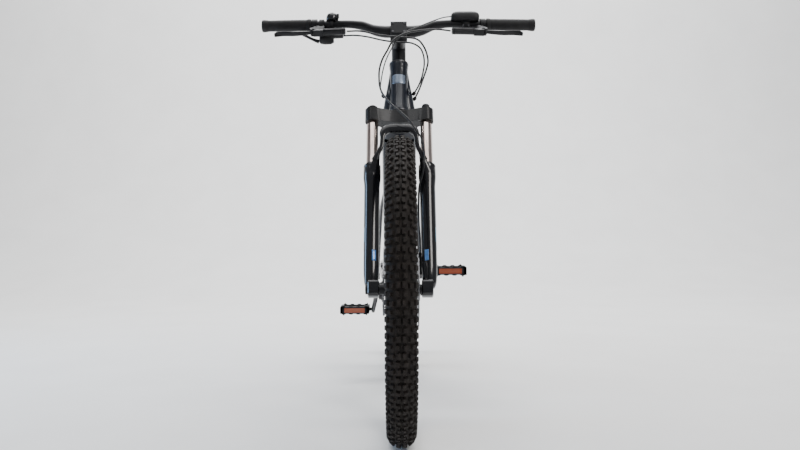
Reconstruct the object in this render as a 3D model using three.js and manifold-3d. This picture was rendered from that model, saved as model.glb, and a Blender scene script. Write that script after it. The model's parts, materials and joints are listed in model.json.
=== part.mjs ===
// Hardtail mountain bike with an electric-assist drive unit and a battery in the down tube.
// Millimetres. +Z up, the bike points towards -Y, the rider's left hand is at +X.
// The origin is on the ground, at the middle of the bike's length.
import * as THREE from 'three';
import { mergeVertices } from 'three/addons/utils/BufferGeometryUtils.js';
import Module from 'manifold-3d';
const wasm = await Module(); wasm.setup();

// ---- driving dimensions ----
const WHEEL_R = 365;          // 27.5 inch wheel with a wide tyre
const TYRE_HALF = 33;         // half of the tyre's width
const WHEELBASE = 1148;
const BB_Y = 693, BB_Z = 309; // crank axis, from the front axle's foot on the ground
const HEAD_TILT = THREE.MathUtils.degToRad(22.5); // 67.5 degree head angle
const STEER_Y = 40.65, STEER_Z = 348.2;           // foot of the steering axis beside the front axle
const FORK_OFFSET = 44, LEG_FWD = 34, LEG_X = 70, STANCHION_R = 15;
const BAR_Y = 255, BAR_Z = 1042, BAR_HALF = 368;
const CRANK = 170, CRANK_ANGLE = 0.446, CHAIN_X = -52;
const RING_T = 38, COG_T = 21, PULLEY_T = 11, PITCH = 12.7;
const SEAT_Y = 811.5, SEAT_Z = 722.4;             // top of the seat tube
const GAP = 0.3;
const MID_Y = (WHEELBASE) / 2;                    // the box runs from -WHEEL_R to WHEELBASE + WHEEL_R

// ---- helpers ----
const V = (x, y, z) => new THREE.Vector3(x, y, z);
const X = V(1, 0, 0), Z = V(0, 0, 1);
const mat4 = () => new THREE.Matrix4();
const move = (x, y, z) => mat4().makeTranslation(x, y, z);
function fix(g) { // shared vertices, faces outward
  let q = g.clone(); for (const k of Object.keys(q.attributes)) if (k !== 'position') q.deleteAttribute(k);
  q = mergeVertices(q, 1e-4);
  const p = q.attributes.position, ix = Array.from(q.index.array), out = []; let vol = 0;
  const a = V(), b = V(), c = V();
  for (let i = 0; i < ix.length; i += 3) {
    if (ix[i] === ix[i + 1] || ix[i + 1] === ix[i + 2] || ix[i] === ix[i + 2]) continue;
    a.fromBufferAttribute(p, ix[i]); b.fromBufferAttribute(p, ix[i + 1]); c.fromBufferAttribute(p, ix[i + 2]);
    vol += a.dot(b.clone().cross(c)); out.push(ix[i], ix[i + 1], ix[i + 2]);
  }
  if (vol < 0) for (let i = 0; i < out.length; i += 3) { const t = out[i]; out[i] = out[i + 1]; out[i + 1] = t; }
  q.setIndex(out); return q;
}
function solid(g, m) { const q = fix(m ? g.clone().applyMatrix4(m) : g);
  return new wasm.Manifold(new wasm.Mesh({ numProp: 3, vertProperties: new Float32Array(q.attributes.position.array), triVerts: new Uint32Array(q.index.array) })); }
function geom(s) { const m = s.getMesh(), g = new THREE.BufferGeometry();
  g.setAttribute('position', new THREE.BufferAttribute(new Float32Array(m.vertProperties), 3));
  g.setIndex(new THREE.BufferAttribute(new Uint32Array(m.triVerts), 1)); return g; }
const union = (...s) => geom(s.slice(1).reduce((a, b) => a.add(b), s[0]));
const coarse = (n) => n > 14 ? Math.round(n * 0.7) : n; // facets of a round section
// cylinder between two points
function rod(a, b, r, n = 16, r2 = r) {
  const d = b.clone().sub(a), g = new THREE.CylinderGeometry(r2, r, d.length(), coarse(n));
  const q = new THREE.Quaternion().setFromUnitVectors(V(0, 1, 0), d.clone().normalize());
  return g.applyMatrix4(mat4().compose(a.clone().add(b).multiplyScalar(0.5), q, V(1, 1, 1)));
}
const box = (x0, x1, y0, y1, z0, z1) => new THREE.BoxGeometry(x1 - x0, y1 - y0, z1 - z0).translate((x0 + x1) / 2, (y0 + y1) / 2, (z0 + z1) / 2);
// ring about the X axis from a closed profile of [x, r]
function wheelRing(profile, n) {
  const pts = profile.map(([x, r]) => new THREE.Vector2(r, x)); pts.push(pts[0].clone());
  return fix(new THREE.LatheGeometry(pts, n).rotateZ(-Math.PI / 2));
}
// solid of revolution about Z from [r, z] points, starting and ending on the axis
const turned = (profile, n) => fix(new THREE.LatheGeometry(profile.map(([r, z]) => new THREE.Vector2(r, z)), coarse(n)).rotateX(Math.PI / 2));
function loft(rings) {
  const n = rings[0].length, pos = [], idx = [];
  for (const r of rings) for (const p of r) pos.push(p.x, p.y, p.z);
  for (let i = 0; i + 1 < rings.length; i++) for (let j = 0; j < n; j++) {
    const a = i * n + j, b = i * n + (j + 1) % n, c = a + n, d = b + n; idx.push(a, b, d, a, d, c); }
  for (const [k, flip] of [[0, true], [rings.length - 1, false]]) {
    const m = V(0, 0, 0); rings[k].forEach(p => m.add(p)); m.divideScalar(n);
    const ci = pos.length / 3; pos.push(m.x, m.y, m.z);
    for (let j = 0; j < n; j++) { const a = k * n + j, b = k * n + (j + 1) % n; flip ? idx.push(ci, b, a) : idx.push(ci, a, b); } }
  const g = new THREE.BufferGeometry(); g.setAttribute('position', new THREE.Float32BufferAttribute(pos, 3)); g.setIndex(idx); return fix(g);
}
const sgn = (v, e) => Math.sign(v) * Math.abs(v) ** e;
function oval(c, u, v, a, b, n0 = 16, e = 2) { const r = [], n = coarse(n0);
  for (let i = 0; i < n; i++) { const t = 2 * Math.PI * i / n; r.push(c.clone().addScaledVector(u, a * sgn(Math.cos(t), 2 / e)).addScaledVector(v, b * sgn(Math.sin(t), 2 / e))); }
  return r; }
// tube through points [x, y, z, half width across, half height], its width kept level
function sweep(pts, n = 16, e = 2) {
  const P = pts.map(p => V(p[0], p[1], p[2]));
  return loft(pts.map((p, i) => {
    const t = P[Math.min(i + 1, P.length - 1)].clone().sub(P[Math.max(i - 1, 0)]).normalize();
    const v = X.clone().cross(t).normalize(), u = t.clone().cross(v).normalize();
    return oval(P[i], u, v, p[3], p[4], n, e); }));
}
// cord: round section run along a smooth curve
function cord(points, r, steps, closed = false) {
  const c = new THREE.CatmullRomCurve3(points.map(p => V(...p)), closed, 'centripetal');
  const pts = Array.from({ length: 8 }, (_, i) => new THREE.Vector2(r * Math.cos(i * Math.PI / 4), r * Math.sin(i * Math.PI / 4)));
  return fix(new THREE.ExtrudeGeometry(new THREE.Shape(pts), { steps, extrudePath: c, bevelEnabled: false, curveSegments: 8 }));
}
function plate(outline, x0, x1, holes = []) { // outline in the Y, Z plane, thick along X
  const s = new THREE.Shape(outline.map(([y, z]) => new THREE.Vector2(y, z)));
  for (const h of holes) s.holes.push(new THREE.Path(h.map(([y, z]) => new THREE.Vector2(y, z))));
  const g = new THREE.ExtrudeGeometry(s, { depth: x1 - x0, bevelEnabled: false });
  g.applyMatrix4(mat4().makeBasis(V(0, 1, 0), V(0, 0, 1), V(1, 0, 0))); return fix(g.translate(x0, 0, 0)); }
const circle = (y, z, r, n, t0 = 0) => Array.from({ length: n }, (_, i) => [y + r * Math.cos(t0 + 2 * Math.PI * i / n), z + r * Math.sin(t0 + 2 * Math.PI * i / n)]);
function mirrorX(g) { const q = g.clone(); q.scale(-1, 1, 1); return fix(q); }

const bike = new THREE.Group(); bike.position.y = -MID_Y;
const steer = new THREE.Group(); steer.position.set(0, STEER_Y, STEER_Z); steer.rotation.x = -HEAD_TILT; bike.add(steer);
function add(group, name, g, color, roughness = 0.5, metalness = 0) {
  const m = new THREE.Mesh(g, new THREE.MeshStandardMaterial({ color, roughness, metalness })); m.name = name; group.add(m); return m; }
const BLACK = 0x111216, FRAME = 0x14171d, RUBBER = 0x1c1a19, CHROME = 0xc9c4c0, STEEL = 0x9a9b9d, ALU = 0x3a3c40, ORANGE = 0xf2711c;
const S2W = (x, y, s) => V(x, y, s).applyAxisAngle(X, -HEAD_TILT).add(V(0, STEER_Y, STEER_Z)); // steering frame to bike frame

// ---- wheels ----
const tyreProfile = [[0, 365], [20, 360], [33, 340], [30, 318], [14.8, 302], [14.8, 294.8], [11, 294.8], [27, 325], [18, 352],
  [-18, 352], [-27, 325], [-11, 294.8], [-14.8, 294.8], [-14.8, 302], [-30, 318], [-33, 340], [-20, 360]];
const rimProfile = [[17.5, 300.5], [17.5, 289], [10, 281], [-10, 281], [-17.5, 289], [-17.5, 300.5], [-15.2, 300.5], [-15.2, 293.6], [15.2, 293.6], [15.2, 300.5]];
function hubAndSpokes(flangeL, flangeR, endL, endR, bore, rotorX) {
  const prof = [[-endR, bore], [endL, bore], [endL, 11.5], [rotorX, 11.5], [rotorX, 19], [rotorX - 3, 27], [flangeL + 2, 27], [flangeL - 2, 27], [flangeL - 5, 15], [-flangeR + 5, 15], [-flangeR + 2, 27], [-flangeR - 2, 27], [-flangeR - 3, 14], [-endR, 14]];
  let h = solid(wheelRing(prof, 12));
  const N = 20;
  for (let i = 0; i < N; i++) { const side = i % 2 ? 1 : -1, rim = 2 * Math.PI * i / N, hub = rim + (i % 4 < 2 ? 1 : -1) * 0.24;
    const fx = side > 0 ? flangeL : -flangeR;
    h = h.add(solid(rod(V(fx, 23.5 * Math.cos(hub), 23.5 * Math.sin(hub)), V(side * 2, 279 * Math.cos(rim), 279 * Math.sin(rim)), 1.2, 4))); }
  return geom(h);
}
function rotor(x, R) { const holes = [];
  for (let k = 0; k < 6; k++) { const o = [], t0 = k * Math.PI / 3; for (let i = 0; i <= 4; i += 2) o.push([(R - 16) * Math.cos(t0 + i * 0.18), (R - 16) * Math.sin(t0 + i * 0.18)]);
    for (let i = 4; i >= 0; i -= 2) o.push([34 * Math.cos(t0 + 0.3 + i * 0.16), 34 * Math.sin(t0 + 0.3 + i * 0.16)]); holes.push(o); }
  holes.push(circle(0, 0, 21, 12)); return plate(circle(0, 0, R, 32), x - 0.95, x + 0.95, holes); }
const wheelF = new THREE.Group(); wheelF.position.set(0, 0, WHEEL_R); bike.add(wheelF);
const wheelB = new THREE.Group(); wheelB.position.set(0, WHEELBASE, WHEEL_R); bike.add(wheelB);
for (const [w, n, args, rx] of [[wheelF, 'front', [28, 28, 49.4, 49.4, 7.9, 40.7], 42], [wheelB, 'rear', [34, 27, 71, 33.5, 6.4, 52.7], 54]]) {
  add(w, 'tyre_' + n, wheelRing(tyreProfile, 32), RUBBER, 0.85);
  add(w, 'rim_' + n, wheelRing(rimProfile, 32), BLACK, 0.4, 0.6);
  add(w, 'hub_and_spokes_' + n, hubAndSpokes(...args), ALU, 0.4, 0.8);
  add(w, 'brake_rotor_' + n, rotor(rx, 90), STEEL, 0.3, 1);
}
add(wheelF, 'front_axle', union(solid(rod(V(-84, 0, 0), V(63, 0, 0), 7.4, 16)), solid(rod(V(-84, 0, 0), V(-76.5, 0, 0), 12, 16))), BLACK, 0.4, 0.6);
add(wheelB, 'rear_axle', union(solid(rod(V(-86, 0, 0), V(87, 0, 0), 5.9, 16)), solid(rod(V(80.6, 0, 0), V(87, 0, 0), 11, 16)), solid(rod(V(-86, 0, 0), V(-80.6, 0, 0), 9, 6))), BLACK, 0.4, 0.6);

// ---- fork: crown, stanchions, lowers (in the steering frame, s upward along the axis) ----
const lobes = [];
for (let i = 0; i <= 10; i++) { const t = -Math.PI / 2 + Math.PI * i / 10; lobes.push([LEG_X + 19.5 * Math.cos(t), -LEG_FWD + 19.5 * Math.sin(t)]); }
const crownHalf = [[0, -33], [30, -40], [52, -48], ...lobes, [52, -12], [34, 10], [20, 24], [0, 28]];
const crownOutline = [...crownHalf.map(([x, y]) => new THREE.Vector2(x, y)), ...crownHalf.slice(1, -1).reverse().map(([x, y]) => new THREE.Vector2(-x, y))];
let crown = solid(new THREE.ExtrudeGeometry(new THREE.Shape(crownOutline), { depth: 36, bevelEnabled: true, bevelSize: 0, bevelThickness: 0.01, bevelSegments: 1 }).translate(0, 0, 461));
crown = crown.add(solid(rod(V(0, 0, 480), V(0, 0, 504.6), 27, 24))).add(solid(rod(V(0, 0, 500), V(0, 0, 728), 14.3, 24)))
  .subtract(solid(rod(V(0, 0, 440), V(0, 0, 740), 11, 20)));
for (const s of [-1, 1]) crown = crown.subtract(solid(rod(V(s * LEG_X, -LEG_FWD, 440), V(s * LEG_X, -LEG_FWD, 520), STANCHION_R + GAP, 24)));
add(steer, 'steerer_crown', geom(crown), BLACK, 0.35, 0.3);
for (const [n, s] of [['left', 1], ['right', -1]])
  add(steer, 'stanchion_' + n, turned([[0, 190], [STANCHION_R, 190], [STANCHION_R, 499], [13, 501], [0, 501]], 24).translate(s * LEG_X, -LEG_FWD, 0), CHROME, 0.12, 1);
add(steer, 'fork_lockout_knob', turned([[0, 501.4], [10, 501.4], [10.5, 508], [8, 513], [0, 513]], 16).translate(LEG_X, -LEG_FWD, 0), BLACK, 0.4);
let low = null;
for (const s of [-1, 1]) {
  const leg = solid(turned([[0, 6], [13, 6], [17, 18], [19.5, 60], [19.5, 275], [21.8, 296], [22, 331], [19.5, 335], [0, 335]], 24), move(s * LEG_X, -LEG_FWD, 0))
    .add(solid(box(s > 0 ? 51 : -78, s > 0 ? 78 : -51, -60, -24, -20, 24)))
    .add(solid(box(s > 0 ? 48 : -64, s > 0 ? 64 : -48, -67, -51, 326, 352)));
  low = low ? low.add(leg) : leg; }
low = low.add(solid(plate([[-64, 340], [-50, 340], [-38.5, 372], [-38, 404], [-30, 413], [30, 413], [38, 404], [38.5, 372], [50, 340], [64, 340], [64, 352], [50, 382], [48, 412], [40, 431], [24, 440], [-24, 440], [-40, 431], [-48, 412], [-50, 382], [-64, 352]], -67, -55.2), mat4().makeBasis(V(0, 1, 0), V(1, 0, 0), V(0, 0, 1))));
for (const s of [-1, 1]) low = low.subtract(solid(rod(V(s * LEG_X, -LEG_FWD, 78), V(s * LEG_X, -LEG_FWD, 350), STANCHION_R + GAP, 24)));
low = low.subtract(solid(rod(V(-100, -FORK_OFFSET, 0), V(100, -FORK_OFFSET, 0), 7.8, 16))).subtract(solid(rod(V(-100, -FORK_OFFSET, 0), V(-76, -FORK_OFFSET, 0), 12.6, 16)));
low = low.subtract(solid(wheelRing([[-37, 300], [37, 300], [37, 350], [20, 374], [-20, 374], [-37, 350]], 48), move(0, -FORK_OFFSET, 0)));
add(steer, 'fork_lowers', geom(low), BLACK, 0.25, 0.1);
const caliper = solid(box(30, 56, -12, 20, 48, 106)).add(solid(rod(V(44, 4, 74), V(62, 4, 74), 14, 16))).subtract(solid(rod(V(39.7, -FORK_OFFSET, 0), V(44.3, -FORK_OFFSET, 0), 91.5, 40)));
add(steer, 'brake_caliper_front', geom(caliper), BLACK, 0.4, 0.5);

// ---- stem, bar and controls ----
let stem = solid(rod(V(0, 0, 664), V(0, 0, 732), 19.5, 24)).add(solid(sweep([[0, 0, 712, 17, 16], [0, -30, 717, 16, 15], [0, -50, 720.5, 20, 18]], 20)))
  .add(solid(box(-23, 23, -66.8, -46, 704, 742))).subtract(solid(rod(V(0, 0, 640), V(0, 0, 760), 14.6, 24))).subtract(solid(rod(V(-60, -67.5, 723), V(60, -67.5, 723), 16.3, 24)));
add(steer, 'stem', geom(stem), BLACK, 0.35, 0.4);
add(steer, 'stem_faceplate', geom(solid(box(-22, 22, -87, -68.2, 704, 742)).subtract(solid(rod(V(-60, -67.5, 723), V(60, -67.5, 723), 16.3, 24)))), BLACK, 0.35, 0.4);
const barPts = [[-368, 286, 1066, 11.1], [-300, 278.5, 1065, 11.1], [-200, 267.5, 1063.8, 11.1], [-118, 258.5, 1062, 11.1], [-96, 256.5, 1058, 12.5], [-66, 255.2, 1046, 14.5], [-44, 255, 1042, 15.9], [44, 255, 1042, 15.9],
  [66, 255.2, 1046, 14.5], [96, 256.5, 1058, 12.5], [118, 258.5, 1062, 11.1], [200, 267.5, 1063.8, 11.1], [300, 278.5, 1065, 11.1], [368, 286, 1066, 11.1]];
add(bike, 'handlebar', loft(barPts.map(([x, y, z, r]) => oval(V(x, y, z), V(0, 1, 0), Z, r, r, 20))), BLACK, 0.35, 0.4);
const onBar = (x) => { const a = barPts.map(p => p); let i = 0; while (i + 2 < a.length && a[i + 1][0] < x) i++; const t = (x - a[i][0]) / (a[i + 1][0] - a[i][0]); return V(x, a[i][1] + t * (a[i + 1][1] - a[i][1]), a[i][2] + t * (a[i + 1][2] - a[i][2])); };
const barRod = (x0, x1, r, n = 20) => rod(onBar(x0), onBar(x1), r, n);
const barHole = (r) => solid(barRod(206, 237.5, r, 14));
// grip: a closed-end sleeve, so its bore stops just past the bar's end
const barRing = (x, r) => { const c = onBar(Math.min(x, 368)); c.x = x; return oval(c, V(0, 1, 0), Z, r, r, 20); };
const gripOuter = loft([[238, 15], [242, 16.5], [250, 15], [300, 15.3], [355, 15.6], [366, 16.8], [371, 16.4], [373.5, 13]].map(([x, r]) => barRing(x, r)));
const gripL = geom(solid(gripOuter).subtract(solid(loft([barRing(230, 11.1 + GAP), barRing(300, 11.1 + GAP), barRing(368.4, 11.1 + GAP)]))));
add(bike, 'grip_left', gripL, RUBBER, 0.8); add(bike, 'grip_right', mirrorX(gripL), RUBBER, 0.8);
// brake levers: local x outward along the bar, y towards the bar, z across; pivot at the origin
const LEV_A = Math.atan2(0.58, 0.815), LEV = mat4().makeTranslation(231, 238, 1036).multiply(mat4().makeRotationZ(0.11)).multiply(mat4().makeRotationX(LEV_A));
const levBody = solid(rod(V(-88, 2, 0), V(-18, 2, 0), 9.5, 16), LEV).add(solid(box(-30, -3, -8, 22, -9, 9), LEV)).add(solid(rod(V(0, 4, -10), V(0, 4, 10), 7, 12), LEV).subtract(solid(box(-12, 12, -8, 20, -6, 6), LEV)))
  .add(solid(box(-18, -3, -8, 24, -9, 9), LEV)).add(solid(barRod(221, 235, 16, 14))).add(solid(box(-12, 2, 12, 36, -8, 8), LEV)).subtract(barHole(11.5));
const bodyL = geom(levBody);
const bladePts = [[2, 0, 4.5, 4], [20, -3, 5.5, 3.2], [50, -5, 6.5, 3], [80, -1, 7, 3], [97, -5, 7, 3.4], [102, -10, 5, 3]];
const blade = geom(solid(loft(bladePts.map(([x, y, h, w]) => oval(V(x, y, 0), V(0, 1, 0), Z, w, h, 12))), LEV).add(solid(rod(V(2, 0, -5.2), V(2, 0, 5.2), 5, 12), LEV)));
for (const [n, f] of [['left', g => g], ['right', mirrorX]]) { add(bike, 'brake_lever_body_' + n, f(bodyL), BLACK, 0.35, 0.3); add(bike, 'brake_lever_' + n, f(blade), BLACK, 0.35, 0.4); }
// shifter below the bar, by the right grip
add(bike, 'shifter_body', geom(solid(loft([[-176, 11, 11], [-184, 15, 15], [-200, 16, 16], [-212, 14, 14], [-215, 9, 9]].map(([x, a, b]) => oval(V(x, 267, 1026), V(0, 1, 0), Z, a, b, 12)))).add(solid(rod(V(-150, 255, 1031), V(-186, 258, 1030), 6.5, 10)))
  .add(solid(barRod(-214, -202, 15, 14))).add(solid(box(-212, -204, 262, 276, 1030, 1056))).subtract(solid(barRod(-216, -150, 12, 20)))), BLACK, 0.45);
add(bike, 'shifter_thumb_lever', loft([[-216.2, 266, 1018, 6, 6], [-232, 266, 1024, 5, 4], [-250, 266, 1033, 7, 4], [-262, 266, 1039, 8, 4], [-266, 266, 1041, 6, 3]].map(([x, y, z, a, b]) => oval(V(x, y, z), V(0, 1, 0), Z, a, b, 12))), BLACK, 0.45);
// bell on top of the bar
const bellAt = onBar(-180);
add(bike, 'bell', geom(solid(barRod(-184, -176, 14, 20)).add(solid(rod(V(-180, bellAt.y, bellAt.z + 9), V(-180, bellAt.y, bellAt.z + 24), 9, 12)))
  .add(solid(turned([[0, 22.4], [11, 22.4], [15.2, 16], [15.6, 11.6], [17.3, 11.6], [17, 18], [14.5, 27], [8, 32.5], [0, 34]], 20), move(-180, bellAt.y, bellAt.z)))
  .subtract(solid(barRod(-216, -150, 12, 20)))), BLACK, 0.15, 0.6);
add(bike, 'bell_striker', geom(solid(box(-166.5, -160, bellAt.y - 24, bellAt.y - 18.5, bellAt.z + 13, bellAt.z + 24)).add(solid(box(-166, -162, bellAt.y - 23, bellAt.y - 6, bellAt.z + 13, bellAt.z + 16)).subtract(solid(rod(V(-180, bellAt.y, 1050), V(-180, bellAt.y, 1120), 17.9, 20))))), BLACK, 0.4);
// display with its button, by the left grip
const disp = new THREE.Shape([[241, 1068], [243, 1090], [256, 1097], [284, 1090], [290, 1082], [284, 1076]].map(([y, z]) => new THREE.Vector2(y, z)));
const dispBody = solid(plate(disp.getPoints().map(p => [p.x, p.y]), 142, 218)).add(solid(barRod(172, 190, 15.5, 20))).subtract(solid(barRod(135, 225, 12.1, 20))).subtract(solid(box(203, 215, 262, 280, 1084, 1110)));
add(bike, 'display', geom(dispBody), BLACK, 0.3);
add(bike, 'display_button', fix(box(203.6, 214.4, 262.6, 279.4, 1086.5, 1094.5)), 0x2a2c30, 0.6);

// ---- frame ----
const headTube = solid(turned([[0, 505.2], [28.5, 505.2], [29, 514], [27, 522], [24.5, 545], [24, 600], [24.5, 640], [26, 650], [26, 662], [20, 663.6], [0, 663.6]], 28))
  .subtract(solid(rod(V(0, 0, 480), V(0, 0, 700), 14.6, 24)));
add(steer, 'head_tube', geom(headTube), FRAME, 0.25, 0.2);
const headCut = solid(rod(S2W(0, 0, 400), S2W(0, 0, 760), 26.4, 28)).add(solid(rod(S2W(0, 0, 400), S2W(0, 0, 530), 29.4, 28)));
const topPts = [[0, 268, 936, 19, 23], [0, 330, 915, 20, 22], [0, 480, 848, 19, 19], [0, 640, 772, 17, 17], [0, 770, 704, 15.5, 16.5], [0, 800, 688, 15, 16]];
const seatCut = solid(rod(V(0, 690, 300), V(0, SEAT_Y + 8, SEAT_Z + 28), 17.8, 24));
add(bike, 'top_tube', geom(solid(sweep(topPts, 14, 2.6)).subtract(solid(sweep(topPts.map(p => [p[0], p[1], p[2], p[3] - 2, p[4] - 2]), 14, 2.6))).subtract(headCut).subtract(seatCut)), FRAME, 0.25, 0.2);
const downPts = [[0, 258, 888, 27, 25], [0, 284, 866, 36, 27], [0, 326, 822, 46, 32], [0, 370, 766, 48.5, 37], [0, 480, 606, 49, 40], [0, 600, 438, 49, 41], [0, 632, 394, 49, 42]];
const downOuter = solid(sweep(downPts, 24, 3.2));
const channel = solid(sweep([[0, 352, 772, 42, 30], [0, 400, 704, 42.5, 33], [0, 480, 590, 42.5, 34], [0, 600, 422, 42.5, 35], [0, 648, 356, 42.5, 36]].map(([x, y, z, a, b]) => [x, y - 12, z - 9, a, b]), 20, 4));
add(bike, 'down_tube', geom(downOuter.subtract(channel).subtract(headCut)), FRAME, 0.25, 0.2);
const packCore = solid(sweep([[0, 358, 764, 41.6, 29], [0, 400, 704, 42.1, 32.5], [0, 480, 590, 42.1, 33.5], [0, 600, 422, 42.1, 34.5], [0, 622, 391.5, 42.1, 35]].map(([x, y, z, a, b]) => [x, y - 12, z - 9, a, b]), 20, 4));
add(bike, 'battery_pack', geom(packCore.intersect(solid(sweep(downPts.slice(2).map(([x, y, z, a, b]) => [x, y, z, a - 0.6, b + 1.4]), 24, 3.2)))), BLACK, 0.4);
const seatDir = V(0, Math.cos(74 * Math.PI / 180), Math.sin(74 * Math.PI / 180)), seatTop = V(0, SEAT_Y, SEAT_Z);
const alongSeat = (d) => seatTop.clone().addScaledVector(seatDir, d); // d measured up from the seat tube's top
const seatTube = solid(turned([[0, -322], [24, -322], [24, -300], [17.5, -294], [17.5, -16], [20, -13], [20, 0], [0, 0]], 24)).subtract(solid(turned([[0, -290], [15.75, -290], [15.75, 20], [0, 20]], 24)));
add(bike, 'seat_tube', geom(seatTube).applyMatrix4(mat4().makeTranslation(0, SEAT_Y, SEAT_Z).multiply(mat4().makeRotationX(-16 * Math.PI / 180))), FRAME, 0.25, 0.2);
// drive unit under the down tube and seat tube, bored for the crank axle
const unit = plate([[588, 362], [592, 300], [610, 254], [650, 224], [700, 222], [742, 240], [764, 280], [768, 330], [762, 372], [735, 396], [690, 400], [668, 408], [622, 372]], -44, 50);
const motor = solid(unit).add(solid(rod(V(-47, BB_Y, BB_Z), V(66, BB_Y, BB_Z), 34, 24)))
  .subtract(solid(rod(V(-90, BB_Y, BB_Z), V(90, BB_Y, BB_Z), 12.4, 20))).subtract(solid(sweep(downPts.slice(-3).concat([[0, 700, 300, 49, 42]]).map(([x, y, z, a, b]) => [x, y, z, a + 4, b + 4]), 24, 3.2)).intersect(solid(plate([[560, 400], [640, 330], [672, 372], [640, 470], [560, 520]], -70, 70))))
  .subtract(solid(rod(alongSeat(-322.4), alongSeat(-200), 24.5, 24)));
add(bike, 'drive_unit', geom(motor), 0x1a1b1e, 0.5);
// stays: chain stay, seat stay and dropout of each side
const sx = (s, pts) => pts.map(([x, y, z, a, b]) => [s * x, y, z, a, b]);
for (const [n, s] of [['left', 1], ['right', -1]]) {
  let st = solid(sweep(sx(s, [[33, 769, 340, 8, 17], [38, 785, 342, 8, 17], [49, 815, 345, 7.5, 15], [58, 880, 351, 7, 13], [66, 1000, 359, 7, 12], [75.5, 1098, 364, 4.2, 12], [76.4, 1150, 365, 4, 18]]), 16))
    .add(solid(sweep(sx(s, [[19, 806, 650, 6.5, 11], [34, 822, 645, 6.5, 11], [49, 856, 632, 6.5, 10], [60, 905, 592, 6.5, 9], [67, 980, 520, 6.5, 8], [73, 1070, 437, 5, 8], [76.2, 1134, 384, 4, 9], [76.4, 1148, 372, 4, 12]]), 16)))
    .add(solid(plate([[1118, 352], [1162, 340], [1176, 356], [1172, 384], [1140, 400], [1118, 388]], s > 0 ? 72.4 : -80.2, s > 0 ? 80.2 : -72.4)));
  if (s < 0) st = st.add(solid(plate([[1140, 352], [1160, 318], [1172, 322], [1172, 360]], -80.2, -73.4))).add(solid(rod(V(-79, 1165, 330), V(-92, 1165, 330), 9.8, 14))); // hanger, and the derailleur's upper knuckle on it
  st = st.subtract(solid(rod(V(-100, WHEELBASE, WHEEL_R), V(100, WHEELBASE, WHEEL_R), 6.2, 16))).subtract(seatCut);
  add(bike, 'rear_stay_' + n, geom(st), FRAME, 0.25, 0.2);
}
const rc = solid(box(42.5, 67, 1058, 1112, 386, 428)).subtract(solid(rod(V(51.7, WHEELBASE, WHEEL_R), V(56.3, WHEELBASE, WHEEL_R), 91.5, 40)));
add(bike, 'brake_caliper_rear', geom(rc), BLACK, 0.4, 0.5);
// seat post, rails and saddle
const post = solid(rod(alongSeat(-130), alongSeat(150), 15.45, 24)).add(solid(box(-27, 27, 846, 876, 868, 884))).add(solid(box(-14, 14, 846, 876, 884, 892)))
  .subtract(solid(box(-26.5, -17.5, 840, 882, 875, 900))).subtract(solid(box(17.5, 26.5, 840, 882, 875, 900)));
add(bike, 'seat_post', geom(post), BLACK, 0.35, 0.3);
const railHalf = [[22, 978, 898], [22, 940, 884], [22, 900, 880.2], [22, 830, 880.2], [21, 800, 886], [12, 772, 898]];
add(bike, 'saddle_rails', cord([...railHalf, ...railHalf.slice().reverse().map(([x, y, z]) => [-x, y, z])], 3.5, 24), STEEL, 0.3, 1);
const seatRings = [[732, 6, 908, 926], [742, 14, 903, 933], [775, 20, 903, 938], [820, 27, 903, 939], [860, 42, 904, 939], [900, 60, 905, 940], [945, 71, 905, 944], [985, 69, 908, 946], [1005, 52, 916, 943]];
add(bike, 'saddle', loft(seatRings.map(([y, a, z0, z1]) => oval(V(0, y, (z0 + z1) / 2), X, Z, a, (z1 - z0) / 2, 20, 2.5))), 0x17181a, 0.6);

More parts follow.
